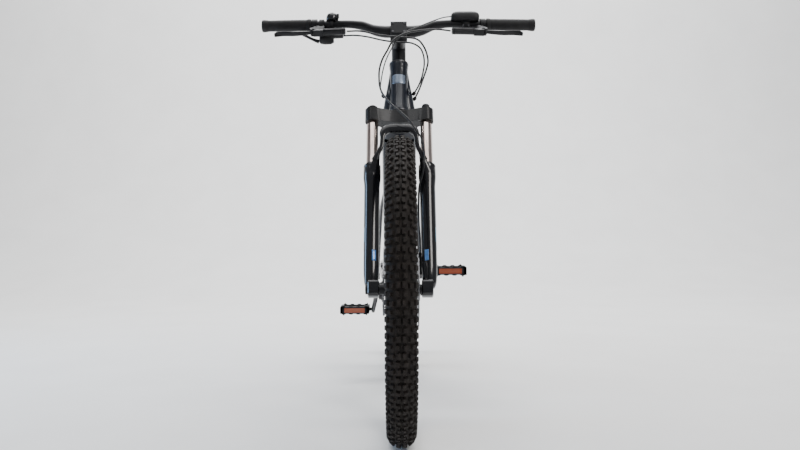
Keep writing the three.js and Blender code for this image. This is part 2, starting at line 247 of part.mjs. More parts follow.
// ---- cranks, pedals, chain, cassette, derailleur ----
const cdir = V(0, -Math.cos(CRANK_ANGLE), Math.sin(CRANK_ANGLE)); // the left arm points forward and up
const bb = V(0, BB_Y, BB_Z), armEnd = (s) => bb.clone().addScaledVector(cdir, s * CRANK);
for (const [n, s] of [['left', 1], ['right', -1]]) {
  const e = armEnd(s), at = (p, x) => V(s * x, p.y, p.z), m = (t) => bb.clone().lerp(e, t);
  const perp = V(0, -cdir.z, cdir.y);
  const ring = (t, x, hw, ht) => oval(at(m(t), x), perp, X, hw, ht, 16, 2.8);
  let arm = solid(loft([ring(-0.07, 75, 11, 6.5), ring(0, 75, 17, 7.5), ring(0.16, 76, 15, 7.2), ring(0.5, 81, 12, 7), ring(0.85, 87, 11.5, 6.6), ring(1, 90, 13.5, 6.4), ring(1.08, 90.4, 9, 6)]));
  arm = arm.add(solid(rod(at(e, 88), at(e, 196), 5.5, 14))).add(solid(rod(at(bb, 68), at(bb, 79), 16, 20)));
  if (s > 0) arm = arm.add(solid(rod(V(-66.8, BB_Y, BB_Z), V(70, BB_Y, BB_Z), 11.9, 16)));
  add(bike, 'crank_arm_' + n, geom(arm), BLACK, 0.35, 0.5);
  // platform pedal, level, its spindle bore running to just past the spindle's end
  const px0 = 103, px1 = 200.7, y = e.y, z = e.z;
  let ped = solid(box(px0, px1, y - 50, y - 38, z - 12, z + 12)).add(solid(box(px0, px1, y + 38, y + 50, z - 12, z + 12)))
    .add(solid(box(px0, px0 + 9, y - 50, y + 50, z - 11, z + 11))).add(solid(box(px1 - 9, px1, y - 50, y + 50, z - 11, z + 11)))
    .add(solid(rod(V(px0, y, z), V(px1 - 1, y, z), 11, 16)));
  for (let i = 0; i < 2; i++) for (const q of [-44, 44]) ped = ped.add(solid(box(px0 + 6 + i * 80, px0 + 12 + i * 80, y + q - 4, y + q + 4, z - 17, z + 17)));
  ped = ped.subtract(solid(rod(V(90, y, z), V(197, y, z), 5.8, 14))).subtract(solid(box(px0 + 14, px1 - 14, y - 60, y - 46.5, z - 8, z + 8))).subtract(solid(box(px0 + 14, px1 - 14, y + 46.5, y + 60, z - 8, z + 8)));
  ped = geom(ped); add(bike, 'pedal_' + n, s > 0 ? ped : mirrorX(ped), BLACK, 0.55);
  const r = box(px0 + 14.5, px1 - 14.5, y - 50.4, y - 46.8, z - 7.6, z + 7.6);
  add(bike, 'pedal_reflector_' + n, s > 0 ? fix(r) : mirrorX(r), ORANGE, 0.25);
}
const P = (t) => t * PITCH / (2 * Math.PI);
const wheels2 = [[BB_Y, BB_Z, P(RING_T), 1], [WHEELBASE, WHEEL_R, P(COG_T), 1], [1160, 277, P(PULLEY_T), -1], [1118, 215, P(PULLEY_T), 1]];
const spider = solid(plate(circle(BB_Y, BB_Z, P(RING_T) - 5.2, 40), CHAIN_X - 1.6, CHAIN_X + 1.6, [circle(BB_Y, BB_Z, 48, 24)]))
  .add(solid(plate(circle(BB_Y, BB_Z, 28, 24), -66.9, CHAIN_X - 1.6, [circle(BB_Y, BB_Z, 12.3, 20)])));
let ringSolid = spider; for (let k = 0; k < 4; k++) { const t = k * Math.PI / 2 + 0.5; ringSolid = ringSolid.add(solid(rod(V(-56, BB_Y + 20 * Math.cos(t), BB_Z + 20 * Math.sin(t)), V(-53.5, BB_Y + 56 * Math.cos(t), BB_Z + 56 * Math.sin(t)), 5.5, 10, 4.5))); }
add(bike, 'chainring', geom(ringSolid), STEEL, 0.35, 0.8);
const cassetteProfile = [[-34.4, 12.2], [-34.4, P(36)], [-38.6, P(36)], [-38.6, P(32)], [-42.6, P(32)], [-42.6, P(28)], [-46.6, P(28)], [-46.6, P(24)], [-48.9, P(24)], [-48.9, P(21) - 4.6], [-55.1, P(21) - 4.6], [-55.1, P(18) - 1], [-58.6, P(18) - 1], [-58.6, P(15)], [-62.6, P(15)], [-62.6, P(13)], [-66.6, P(13)], [-66.6, P(11)], [-70.6, P(11)], [-70.6, 12.2]];
add(wheelB, 'cassette', wheelRing(cassetteProfile, 24), STEEL, 0.35, 0.9);
// chain: belt round ring, cog and both pulleys
function beltPath(c) { // circles [y, z, r, sense]; returns a closed outline of the pitch line
  const out = [], n = c.length, tan = [];
  for (let i = 0; i < n; i++) { const [ay, az, ar, as] = c[i], [by, bz, br, bs] = c[(i + 1) % n];
    const dy = by - ay, dz = bz - az, d = Math.hypot(dy, dz), a = Math.atan2(dz, dy);
    // going from a to b with the circle on the travel's right hand for sense 1
    const off = Math.asin((as * ar - bs * br) / d), th = a - off; // direction of the tangent line
    const ny = -Math.sin(th), nz = Math.cos(th);
    tan.push([[ay + as * ar * ny, az + as * ar * nz], [by + bs * br * ny, bz + bs * br * nz]]); }
  for (let i = 0; i < n; i++) { const [cy, cz, r, sense] = c[i], from = tan[(i + n - 1) % n][1], to = tan[i][0];
    let t0 = Math.atan2(from[1] - cz, from[0] - cy), t1 = Math.atan2(to[1] - cz, to[0] - cy);
    if (sense > 0) while (t1 > t0) t1 -= 2 * Math.PI; else while (t1 < t0) t1 += 2 * Math.PI;
    const k = Math.max(2, Math.ceil(Math.abs(t1 - t0) / 0.22));
    for (let j = 0; j <= k; j++) { const t = t0 + (t1 - t0) * j / k; out.push([cy + r * Math.cos(t), cz + r * Math.sin(t)]); } }
  return out; }
const pl = beltPath(wheels2), off = (h) => pl.map((p, i) => { const a = pl[(i + pl.length - 1) % pl.length], b = pl[(i + 1) % pl.length]; const ty = b[0] - a[0], tz = b[1] - a[1], l = Math.hypot(ty, tz); return [p[0] - h * tz / l, p[1] + h * ty / l]; });
const chainMesh = (() => { const o = off(3.9), q = off(-3.9), n = pl.length, pos = [], idx = [];
  for (let i = 0; i < n; i++) for (const [p, x] of [[o[i], CHAIN_X - 2.7], [o[i], CHAIN_X + 2.7], [q[i], CHAIN_X + 2.7], [q[i], CHAIN_X - 2.7]]) pos.push(x, p[0], p[1]);
  for (let i = 0; i < n; i++) { const a = i * 4, b = ((i + 1) % n) * 4; for (let k = 0; k < 4; k++) { const l = (k + 1) % 4; idx.push(a + k, a + l, b + l, a + k, b + l, b + k); } }
  const g = new THREE.BufferGeometry(); g.setAttribute('position', new THREE.Float32BufferAttribute(pos, 3)); g.setIndex(idx); return fix(g); })();
add(bike, 'chain', chainMesh, STEEL, 0.35, 0.9);
for (const [n, y, z] of [['guide_pulley', 1160, 277], ['tension_pulley', 1118, 215]]) add(bike, n, plate(circle(y, z, P(PULLEY_T) - 4.4, 22), CHAIN_X - 1.6, CHAIN_X + 1.6, [circle(y, z, 3.4, 10)]), BLACK, 0.5);
const cagePlate = [[1150, 296], [1172, 294], [1180, 276], [1174, 258], [1140, 200], [1122, 192], [1104, 200], [1102, 218], [1140, 262], [1142, 280]];
const cage = solid(plate(cagePlate, -47.4, -45.6)).add(solid(plate(cagePlate, -59.6, -57.8))).add(solid(rod(V(-60, 1160, 277), V(-45.6, 1160, 277), 3, 10))).add(solid(rod(V(-60, 1118, 215), V(-45.6, 1118, 215), 3, 10)));
add(bike, 'derailleur_cage', geom(cage), STEEL, 0.35, 0.8);
const der = solid(rod(V(-60.2, 1160, 277), V(-74, 1160, 277), 14, 16)).add(solid(loft([oval(V(-67, 1158, 279), X, V(0, 1, 0), 7, 11, 12), oval(V(-84.5, 1149, 300), X, V(0, 1, 0), 5.5, 8, 12), oval(V(-87, 1147.5, 312), X, V(0, 1, 0), 5.5, 7, 12), oval(V(-87, 1147.5, 326), X, V(0, 1, 0), 5, 6.5, 12)])));
add(bike, 'derailleur_body', geom(der), BLACK, 0.4, 0.4);

// ---- hoses and cables along their real routes ----
add(bike, 'brake_hose_front', cord([[138, 229, 1037], [100, 212, 1037], [55, 199, 1031], [15.9, 192, 1021], [-14.7, 186, 1002], [-30, 182, 975], [-43.2, 180, 951], [-50.9, 178, 925], [-52, 174, 899], [-50.4, 168, 880], [-43.6, 156, 859], [-21.3, 134, 828], [5.7, 116, 802], [26.7, 104, 779], [44, 104, 752], S2W(54, -80, 392).toArray(), S2W(60, -75, 372).toArray(), S2W(62.5, -71.5, 350).toArray(), S2W(61.5, -71, 324).toArray(), S2W(57, -64, 296).toArray(), S2W(49, -53, 268).toArray(), S2W(46.8, -38, 230).toArray(), S2W(47, -22, 190).toArray(), S2W(49, -6, 150).toArray(), S2W(50, 4, 125).toArray(), S2W(50, 8, 107.5).toArray()], 2.5, 38), BLACK, 0.5);
add(bike, 'display_cable', cord([[141, 246, 1080], [118, 236, 1074], [80, 224, 1058], [45, 212, 1041], [16, 198, 1026], [-6, 193.5, 1004], [-22, 193, 977], [-34, 199, 953], [-42, 204, 928], [-47, 216, 905], [-49.5, 238, 892], [-49, 262, 882], [-44, 281, 873.5]], 1.7, 22), BLACK, 0.5);
add(bike, 'brake_hose_rear', cord([[-138, 229, 1037], [-100, 212, 1033], [-50, 203, 1020], [0, 200, 1014], [48.6, 205, 1009], [63.8, 205, 993], [73.6, 208, 972], [77.2, 215, 952], [74, 222, 936], [66, 240, 914], [58, 262, 894], [50, 282, 878], [44, 293, 868]], 2.5, 24), BLACK, 0.5);
add(bike, 'shift_cable', cord([[-148.4, 254.6, 1031], [-120, 241, 1029], [-85, 224, 1021], [-40, 212, 1008], [0, 208, 1002], [34, 209, 1000], [56, 212, 988], [65, 216, 970], [67.5, 223, 950], [65, 232, 930], [59, 247, 909], [51, 266, 893], [42, 280, 880]], 2.3, 22), BLACK, 0.5);

export default bike;
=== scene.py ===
import bpy, bmesh, json, math
import numpy as np
from mathutils import Vector, Matrix


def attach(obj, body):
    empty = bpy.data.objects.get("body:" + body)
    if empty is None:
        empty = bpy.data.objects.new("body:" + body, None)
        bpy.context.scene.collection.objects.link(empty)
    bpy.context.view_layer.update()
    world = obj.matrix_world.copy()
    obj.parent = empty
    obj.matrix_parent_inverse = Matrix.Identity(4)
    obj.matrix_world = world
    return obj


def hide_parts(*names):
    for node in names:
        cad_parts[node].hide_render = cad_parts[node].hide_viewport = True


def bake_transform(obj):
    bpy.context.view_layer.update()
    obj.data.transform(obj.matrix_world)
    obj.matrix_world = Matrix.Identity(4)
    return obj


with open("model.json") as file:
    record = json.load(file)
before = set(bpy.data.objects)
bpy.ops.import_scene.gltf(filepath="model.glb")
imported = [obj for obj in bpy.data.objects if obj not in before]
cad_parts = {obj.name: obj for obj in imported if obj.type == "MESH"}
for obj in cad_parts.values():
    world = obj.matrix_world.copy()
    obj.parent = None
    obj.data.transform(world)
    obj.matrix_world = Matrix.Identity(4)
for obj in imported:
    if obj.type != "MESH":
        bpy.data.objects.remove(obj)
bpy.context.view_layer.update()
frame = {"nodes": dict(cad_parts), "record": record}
pi, sin, cos = math.pi, math.sin, math.cos
MID = 0.574                                   # the row's origin is 0.574 m behind the front axle
UC, US = cos(math.radians(22.5)), sin(math.radians(22.5))

def P(x, y, z):                               # mm from the front axle's ground point, to the row frame in m
    return Vector((x / 1000, y / 1000 - MID, z / 1000))

def S(x, y, s):                               # mm in the steering frame (s up along the steering axis)
    return P(x, 40.65 + UC * y + US * s, 348.2 - US * y + UC * s)

STEER_M = Matrix(((1, 0, 0, 0), (0, UC, US, 40.65 / 1000 - MID), (0, -US, UC, 0.3482), (0, 0, 0, 1)))

# ---------------------------------------------------------------- camera, light, floor
def look():
    cam = bpy.data.cameras.new("camera"); o = bpy.data.objects.new("camera", cam)
    bpy.context.scene.collection.objects.link(o)
    cam.sensor_width = 36; cam.lens = 35.955; cam.clip_end = 50
    def rot(ax, a):
        return np.array(Matrix.Rotation(a, 3, Vector(ax)))
    M = rot((1, 0, 0), -0.0067) @ rot((0, 0, 1), 0.0045)
    cr, sr = cos(-0.0056), sin(-0.0056)
    right = cr * M[0] + sr * M[2]; up = -sr * M[0] + cr * M[2]; back = -M[1]
    m = Matrix.Identity(4)
    for i in range(3):
        m[i][0], m[i][1], m[i][2] = right[i], up[i], back[i]
    m.translation = Vector((-0.009, -2.474, 0.505))
    o.matrix_world = m
    bpy.context.scene.camera = o
look()

def new_mat(name):
    m = bpy.data.materials.new(name); m.use_nodes = True
    nt = m.node_tree; nt.nodes.clear()
    out = nt.nodes.new("ShaderNodeOutputMaterial"); b = nt.nodes.new("ShaderNodeBsdfPrincipled")
    nt.links.new(b.outputs[0], out.inputs[0])
    return m, nt, b

def coords(nt, scale=(1, 1, 1), rot=(0, 0, 0)):
    t = nt.nodes.new("ShaderNodeTexCoord"); mp = nt.nodes.new("ShaderNodeMapping")
    mp.inputs["Scale"].default_value = scale; mp.inputs["Rotation"].default_value = rot
    nt.links.new(t.outputs["Object"], mp.inputs["Vector"])
    return mp.outputs[0]

def noise(nt, co, scale, detail=4, rough=0.55):
    n = nt.nodes.new("ShaderNodeTexNoise"); n.inputs["Scale"].default_value = scale
    n.inputs["Detail"].default_value = detail; n.inputs["Roughness"].default_value = rough
    nt.links.new(co, n.inputs["Vector"]); return n.outputs["Fac"]

def ramp(nt, fac, a, b, lo=0.3, hi=0.7):
    r = nt.nodes.new("ShaderNodeValToRGB"); e = r.color_ramp.elements
    e[0].position, e[1].position = lo, hi
    e[0].color, e[1].color = (*a, 1), (*b, 1)
    nt.links.new(fac, r.inputs[0]); return r.outputs[0]

def span(nt, fac, lo, hi, f0=0.25, f1=0.75):
    r = nt.nodes.new("ShaderNodeMapRange")
    for k, v in zip(("From Min", "From Max", "To Min", "To Max"), (f0, f1, lo, hi)):
        r.inputs[k].default_value = v
    nt.links.new(fac, r.inputs["Value"]); return r.outputs[0]

def bump(nt, b, h, strength, dist, prev=None):
    n = nt.nodes.new("ShaderNodeBump"); n.inputs["Strength"].default_value = strength
    n.inputs["Distance"].default_value = dist; nt.links.new(h, n.inputs["Height"])
    if prev is not None: nt.links.new(prev, n.inputs["Normal"])
    nt.links.new(n.outputs[0], b.inputs["Normal"]); return n.outputs[0]

def surface(name, a, b2, r0, r1, metal=0.0, coat=0.0, vscale=30, rscale=60, bscale=600, bs=0.1, bd=0.0003, stretch=(1, 1, 1), spec=0.28, coat_r=0.05):
    m, nt, b = new_mat(name); co = coords(nt, stretch)
    nt.links.new(ramp(nt, noise(nt, co, vscale), a, b2), b.inputs["Base Color"])
    nt.links.new(span(nt, noise(nt, co, rscale, 6, 0.65), r0, r1), b.inputs["Roughness"])
    bump(nt, b, noise(nt, co, bscale, 3), bs, bd)
    b.inputs["Metallic"].default_value = metal; b.inputs["Coat Weight"].default_value = coat
    b.inputs["Coat Roughness"].default_value = coat_r; b.inputs["Specular IOR Level"].default_value = spec
    return m

M = {}
M["paint"] = surface("frame_paint_v", (0.0055, 0.0075, 0.013), (0.009, 0.012, 0.020), 0.24, 0.36, 0.0, 0.55, 12, 40, 900, 0.05, 0.0001)
M["fork"] = surface("fork_paint_v", (0.0035, 0.0035, 0.0045), (0.007, 0.007, 0.009), 0.16, 0.28, 0.0, 0.6, 15, 50, 900, 0.04, 0.0001)
M["crown"] = surface("crown_v", (0.0035, 0.0035, 0.0045), (0.007, 0.007, 0.008), 0.24, 0.36, 0.0, 0.4, 25, 70, 1500, 0.12, 0.0001)
M["anod"] = surface("anodised_black_v", (0.008, 0.008, 0.009), (0.014, 0.014, 0.016), 0.34, 0.48, 0.4, 0.1, 40, 90, 2200, 0.15, 0.0001)
M["gloss_black"] = surface("gloss_black_v", (0.005, 0.0055, 0.0075), (0.009, 0.010, 0.013), 0.15, 0.26, 0.0, 0.6, 30, 60, 900, 0.04, 0.0001)
M["plastic"] = surface("moulded_plastic_v", (0.007, 0.007, 0.0078), (0.013, 0.013, 0.0145), 0.42, 0.58, 0, 0, 45, 80, 2600, 0.35, 0.00012)
M["rubber"] = surface("grip_rubber_v", (0.005, 0.005, 0.0055), (0.010, 0.010, 0.011), 0.50, 0.66, 0, 0, 50, 90, 3000, 0.35, 0.00015)
M["hose"] = surface("hose_v", (0.010, 0.010, 0.011), (0.018, 0.018, 0.020), 0.30, 0.42, 0, 0.2, 60, 120, 2500, 0.15, 0.0001)
M["tyre"] = surface("tyre_v", (0.010, 0.0082, 0.0072), (0.023, 0.0185, 0.016), 0.62, 0.85, 0, 0, 55, 140, 1600, 0.6, 0.0004, spec=0.2)
M["steel"] = surface("steel_v", (0.24, 0.24, 0.25), (0.38, 0.38, 0.39), 0.22, 0.38, 1.0, 0, 60, 160, 2500, 0.12, 0.0001)
M["dark_steel"] = surface("dark_steel_v", (0.06, 0.06, 0.065), (0.12, 0.12, 0.125), 0.28, 0.45, 1.0, 0, 60, 160, 2500, 0.12, 0.0001)
M["bolt"] = surface("bolt_v", (0.05, 0.05, 0.055), (0.11, 0.11, 0.115), 0.25, 0.40, 1.0, 0, 200, 400, 4000, 0.1, 0.0001)
M["spoke"] = surface("spoke_v", (0.05, 0.05, 0.055), (0.10, 0.10, 0.11), 0.25, 0.40, 1.0, 0, 60, 160, 2500, 0.05, 0.0001)
M["screen"] = surface("display_glass_v", (0.012, 0.014, 0.018), (0.020, 0.024, 0.030), 0.05, 0.11, 0, 1.0, 20, 30, 300, 0.01, 0.0001)
# blue film colour: a real mark on the lockout dial, and painted blue reflections on the fork legs
M["blue"] = surface("blue_mark_and_painted_reflection_v", (0.05, 0.16, 0.42), (0.09, 0.25, 0.58), 0.22, 0.34, 0.2, 1.0, 90, 120, 900, 0.03, 0.0001)
M["badge"] = surface("badge_v", (0.16, 0.20, 0.27), (0.25, 0.30, 0.38), 0.28, 0.42, 0.6, 0.5, 260, 300, 1800, 0.25, 0.0001)
M["sky"] = surface("panel_sky_v", (0.22, 0.42, 0.55), (0.30, 0.52, 0.66), 0.28, 0.42, 0.1, 0.8, 160, 160, 1200, 0.04, 0.0001)
M["white"] = surface("pale_print_v", (0.55, 0.58, 0.62), (0.68, 0.70, 0.74), 0.35, 0.5, 0, 0.4, 200, 200, 1500, 0.05, 0.0001)

def chrome_mat():                             # hard-chromed tube: fine turned rings along it, slight warmth
    m, nt, b = new_mat("stanchion_chrome_v"); co = coords(nt, (1, 1, 260), (math.radians(22.5), 0, 0))
    nt.links.new(ramp(nt, noise(nt, coords(nt), 18), (0.50, 0.41, 0.37), (0.64, 0.55, 0.51)), b.inputs["Base Color"])
    nt.links.new(span(nt, noise(nt, co, 6, 5), 0.07, 0.15), b.inputs["Roughness"])
    bump(nt, b, noise(nt, co, 8, 4), 0.05, 0.0001); b.inputs["Metallic"].default_value = 1.0
    return m
M["chrome"] = chrome_mat()

def reflector_mat():                          # orange prismatic reflector: small cells under a smooth clear face
    m, nt, b = new_mat("reflector_v"); co = coords(nt)
    v = nt.nodes.new("ShaderNodeTexVoronoi"); v.inputs["Scale"].default_value = 420; v.feature = "F1"; v.inputs["Randomness"].default_value = 0.15
    nt.links.new(co, v.inputs["Vector"])
    nt.links.new(ramp(nt, v.outputs["Distance"], (0.50, 0.085, 0.012), (0.20, 0.028, 0.005), 0.1, 0.75), b.inputs["Base Color"])
    nt.links.new(span(nt, noise(nt, co, 300), 0.12, 0.24), b.inputs["Roughness"])
    bump(nt, b, v.outputs["Distance"], 0.5, 0.0006); b.inputs["Coat Weight"].default_value = 1.0
    b.inputs["Specular IOR Level"].default_value = 0.6
    return m
M["reflector"] = reflector_mat()

def saddle_mat():                             # embossed synthetic leather: pebbled grain with fine creases
    m, nt, b = new_mat("saddle_cover_v"); co = coords(nt)
    v = nt.nodes.new("ShaderNodeTexVoronoi"); v.inputs["Scale"].default_value = 650; v.feature = "DISTANCE_TO_EDGE"
    nt.links.new(co, v.inputs["Vector"])
    nt.links.new(ramp(nt, noise(nt, co, 35), (0.008, 0.008, 0.0085), (0.015, 0.015, 0.0165)), b.inputs["Base Color"])
    nt.links.new(span(nt, noise(nt, co, 90), 0.42, 0.60), b.inputs["Roughness"])
    p = bump(nt, b, noise(nt, co, 1800), 0.2, 0.0002); bump(nt, b, v.outputs["Distance"], 0.5, 0.0005, p)
    b.inputs["Sheen Weight"].default_value = 0.15
    return m
M["saddle"] = saddle_mat()

def floor_and_light():
    prof = [(-9, 0)] + [(3.2, 0)] + [(3.2 + 2.6 * sin(t * pi / 24), 2.6 - 2.6 * cos(t * pi / 24)) for t in range(1, 13)] + [(5.8, 7.5)]
    me = bpy.data.meshes.new("floor"); R = 20; v, f = [], []
    for y, z in prof: v += [(-R, y, z - 0.0004), (R, y, z - 0.0004)]
    f = [(2 * k, 2 * k + 1, 2 * k + 3, 2 * k + 2) for k in range(len(prof) - 1)]
    me.from_pydata(v, [], f); me.polygons.foreach_set("use_smooth", [True] * len(f))
    o = bpy.data.objects.new("floor", me); bpy.context.scene.collection.objects.link(o)
    o.data.materials.append(surface("floor_v", (0.78, 0.78, 0.775), (0.82, 0.82, 0.815), 0.6, 0.75, 0, 0, 3, 6, 200, 0.02, 0.0002))
    w = bpy.data.worlds.new("world"); bpy.context.scene.world = w; w.use_nodes = True
    bg = w.node_tree.nodes["Background"]; bg.inputs[0].default_value = (0.82, 0.85, 0.90, 1); bg.inputs[1].default_value = 0.36
    def area(name, loc, target, sx, sy, power, col):
        l = bpy.data.lights.new(name, "AREA"); l.shape = "RECTANGLE"; l.size, l.size_y, l.energy, l.color = sx, sy, power, col
        q = bpy.data.objects.new(name, l); bpy.context.scene.collection.objects.link(q); q.location = loc
        q.rotation_euler = (Vector(target) - Vector(loc)).to_track_quat("-Z", "Y").to_euler()
    area("key", (2.4, -3.0, 3.4), (0, 0, 0.6), 1.8, 1.4, 85, (1.0, 0.96, 0.92))
    area("window", (-2.9, 0.1, 1.1), (0, -0.2, 0.9), 0.7, 1.9, 42, (0.45, 0.68, 1.0))
    area("top", (0, 0.4, 4.4), (0, 0, 0.4), 3.4, 3.4, 120, (1, 1, 1))
    area("wall", (0, 1.6, 5.2), (0, 6.0, 1.6), 7.0, 1.6, 620, (1, 1, 1))
    area("floor_glow", (0, -2.2, 4.8), (0, -1.0, 0), 5.0, 1.6, 55, (1, 1, 1))
floor_and_light()

# ---------------------------------------------------------------- mesh helpers (all input in mm)
def mesh_obj(name, verts, faces, mats, idx=None, to=P, smooth=math.radians(35), bevel=0.0, seg=2, subsurf=0):
    me = bpy.data.meshes.new(name); me.from_pydata([tuple(to(*v)) if to else tuple(v) for v in verts], [], faces)
    bm = bmesh.new(); bm.from_mesh(me); bmesh.ops.recalc_face_normals(bm, faces=bm.faces); bm.to_mesh(me); bm.free()
    for m in (mats if isinstance(mats, (list, tuple)) else [mats]): me.materials.append(M[m] if isinstance(m, str) else m)
    if idx is not None: me.polygons.foreach_set("material_index", idx)
    o = bpy.data.objects.new(name, me); bpy.context.scene.collection.objects.link(o)
    finish_mesh(o, smooth, bevel, seg, subsurf); return o

def finish_mesh(o, smooth, bevel=0.0, seg=2, subsurf=0):
    me = o.data
    me.polygons.foreach_set("use_smooth", [True] * len(me.polygons))
    if subsurf:
        s = o.modifiers.new("sub", "SUBSURF"); s.levels = s.render_levels = subsurf
    elif smooth: me.set_sharp_from_angle(angle=smooth)
    if bevel:
        b = o.modifiers.new("bevel", "BEVEL"); b.width = bevel / 1000; b.segments = seg; b.limit_method = "ANGLE"
        b.angle_limit = math.radians(34); b.harden_normals = True

class Pile:                                   # several closed shells gathered into one piece
    def __init__(s): s.v, s.f, s.m = [], [], []
    def put(s, v, f, m=0):
        k = len(s.v); s.v += [tuple(p) for p in v]; s.f += [tuple(i + k for i in q) for q in f]; s.m += [m] * len(f); return s
    def make(s, name, mats, **k): return mesh_obj(name, s.v, s.f, mats, s.m, **k)

def rings(loops, cap=True, closed=False):
    n = len(loops[0]); v = [p for l in loops for p in l]; f = []
    for i in range(len(loops) if closed else len(loops) - 1):
        a, b = i * n, (i + 1) % len(loops) * n
        f += [(a + j, a + (j + 1) % n, b + (j + 1) % n, b + j) for j in range(n)]
    if cap and not closed: f += [tuple(range(n))[::-1], tuple(range((len(loops) - 1) * n, len(loops) * n))]
    return v, f

def basis(d):
    d = Vector(d).normalized(); a = Vector((0, 0, 1)) if abs(d.z) < 0.9 else Vector((1, 0, 0))
    u = d.cross(a).normalized(); return d, u, u.cross(d).normalized()

def turned(a, b, prof, n=32):                 # prof: (distance along from a, radius)
    a = Vector(a); d, u, w = basis(Vector(b) - a); out = []
    for t, r in prof:
        c = a + d * t; out.append([c + (u * cos(2 * pi * k / n) + w * sin(2 * pi * k / n)) * max(r, 0.01) for k in range(n)])
    return rings(out)

def rod(a, b, r, n=24, r2=None, ch=0.5):
    L = (Vector(b) - Vector(a)).length; r2 = r if r2 is None else r2; ch = min(ch, r * 0.4, L * 0.3)
    return turned(a, b, [(0, r - ch), (ch * 0.3, r - ch * 0.3), (ch, r), (L - ch, r2), (L - ch * 0.3, r2 - ch * 0.3), (L, r2 - ch)], n)

def block(x0, x1, y0, y1, z0, z1):
    v = [(x, y, z) for z in (z0, z1) for y in (y0, y1) for x in (x0, x1)]
    return v, [(0, 2, 3, 1), (4, 5, 7, 6), (0, 1, 5, 4), (2, 6, 7, 3), (0, 4, 6, 2), (1, 3, 7, 5)]

def hex_bolt(c, d, r=3.2, h=3.0, n=24):       # socket-head cap screw with its hexagon recess
    c = Vector(c); dn, u, w = basis(d); out = []
    for t, q in ((0, r), (h - 0.6, r), (h - 0.15, r - 0.2), (h, r - 0.6), (h, r * 0.58)):
        out.append([c + dn * t + (u * cos(2 * pi * k / n) + w * sin(2 * pi * k / n)) * q for k in range(n)])
    for t, q in ((h, r * 0.55), (h - h * 0.6, r * 0.52)):
        l = []
        for k in range(n):
            a = 2 * pi * k / n; s = pi / 3; m = (a % s) - s / 2; l.append(c + dn * t + (u * cos(a) + w * sin(a)) * q * cos(s / 2) / cos(m))
        out.append(l)
    return rings(out)

def spline(pts, per=6, closed=False, centri=0.5):
    p = [np.array(q, float) for q in pts]; n = len(p); out = []
    g = (lambda i: p[i % n]) if closed else (lambda i: p[i] if 0 <= i < n else (2 * p[0] - p[1] if i < 0 else 2 * p[-1] - p[-2]))
    for i in range(n if closed else n - 1):
        q = [g(i - 1), g(i), g(i + 1), g(i + 2)]; t = [0.0]
        for k in range(3): t.append(t[-1] + max(np.linalg.norm((q[k + 1] - q[k])[:3]) ** centri, 1e-6))
        for s in range(per):
            x = t[1] + (t[2] - t[1]) * s / per
            A = [(t[k + 1] - x) / (t[k + 1] - t[k]) * q[k] + (x - t[k]) / (t[k + 1] - t[k]) * q[k + 1] for k in range(3)]
            B = [(t[k + 2] - x) / (t[k + 2] - t[k]) * A[k] + (x - t[k]) / (t[k + 2] - t[k]) * A[k + 1] for k in range(2)]
            out.append((t[2] - x) / (t[2] - t[1]) * B[0] + (x - t[1]) / (t[2] - t[1]) * B[1])
    if not closed: out.append(p[-1])
    return out

def tube(path, r, n=12, closed=False):        # parallel-transport frames along a path
    p = [Vector(q[:3]) for q in path]; N = len(p); out = []; u = None
    for i in range(N):
        a, b = p[(i - 1) % N if closed else max(i - 1, 0)], p[(i + 1) % N if closed else min(i + 1, N - 1)]
        d = (b - a).normalized()
        u = basis(d)[1] if u is None else (u - d * u.dot(d)).normalized()
        w = d.cross(u); rr = r(i / (N - 1)) if callable(r) else r
        out.append([p[i] + (u * cos(2 * pi * k / n) + w * sin(2 * pi * k / n)) * rr for k in range(n)])
    return rings(out, closed=closed)

def sup(c, a, b, u, v, n=40, e=2.6):          # superellipse loop
    out = []
    for k in range(n):
        t = 2 * pi * k / n; ct, st = cos(t), sin(t)
        out.append(Vector(c) + Vector(u) * (a * math.copysign(abs(ct) ** (2 / e), ct)) + Vector(v) * (b * math.copysign(abs(st) ** (2 / e), st)))
    return out

def refine(node, mat, bevel=0.6, angle=30, seg=2):  # the CAD node's own shape, with rounded edges and smooth shading
    src = frame["nodes"][node]; me = src.data.copy(); me.name = node + "_smooth"
    bm = bmesh.new(); bm.from_mesh(me); bmesh.ops.remove_doubles(bm, verts=bm.verts, dist=2e-6)
    bmesh.ops.dissolve_limit(bm, angle_limit=math.radians(1.5), verts=bm.verts, edges=bm.edges)
    bm.to_mesh(me); bm.free()
    for k in ("custom_normal",):
        if k in me.attributes: me.attributes.remove(me.attributes[k])
    me.materials.clear(); me.materials.append(M[mat])
    o = bpy.data.objects.new(node + "_fine", me); bpy.context.scene.collection.objects.link(o)
    finish_mesh(o, math.radians(angle), bevel, seg)
    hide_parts(node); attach(o, BODY[node]); return o

BODY = {n: b for b, ns in frame["record"]["behaviour"]["bodies"].items() for n in ns}
def stands(o, *nodes):
    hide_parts(*nodes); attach(o, BODY[nodes[0]]); return o
def trim(o, body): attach(o, body); return o

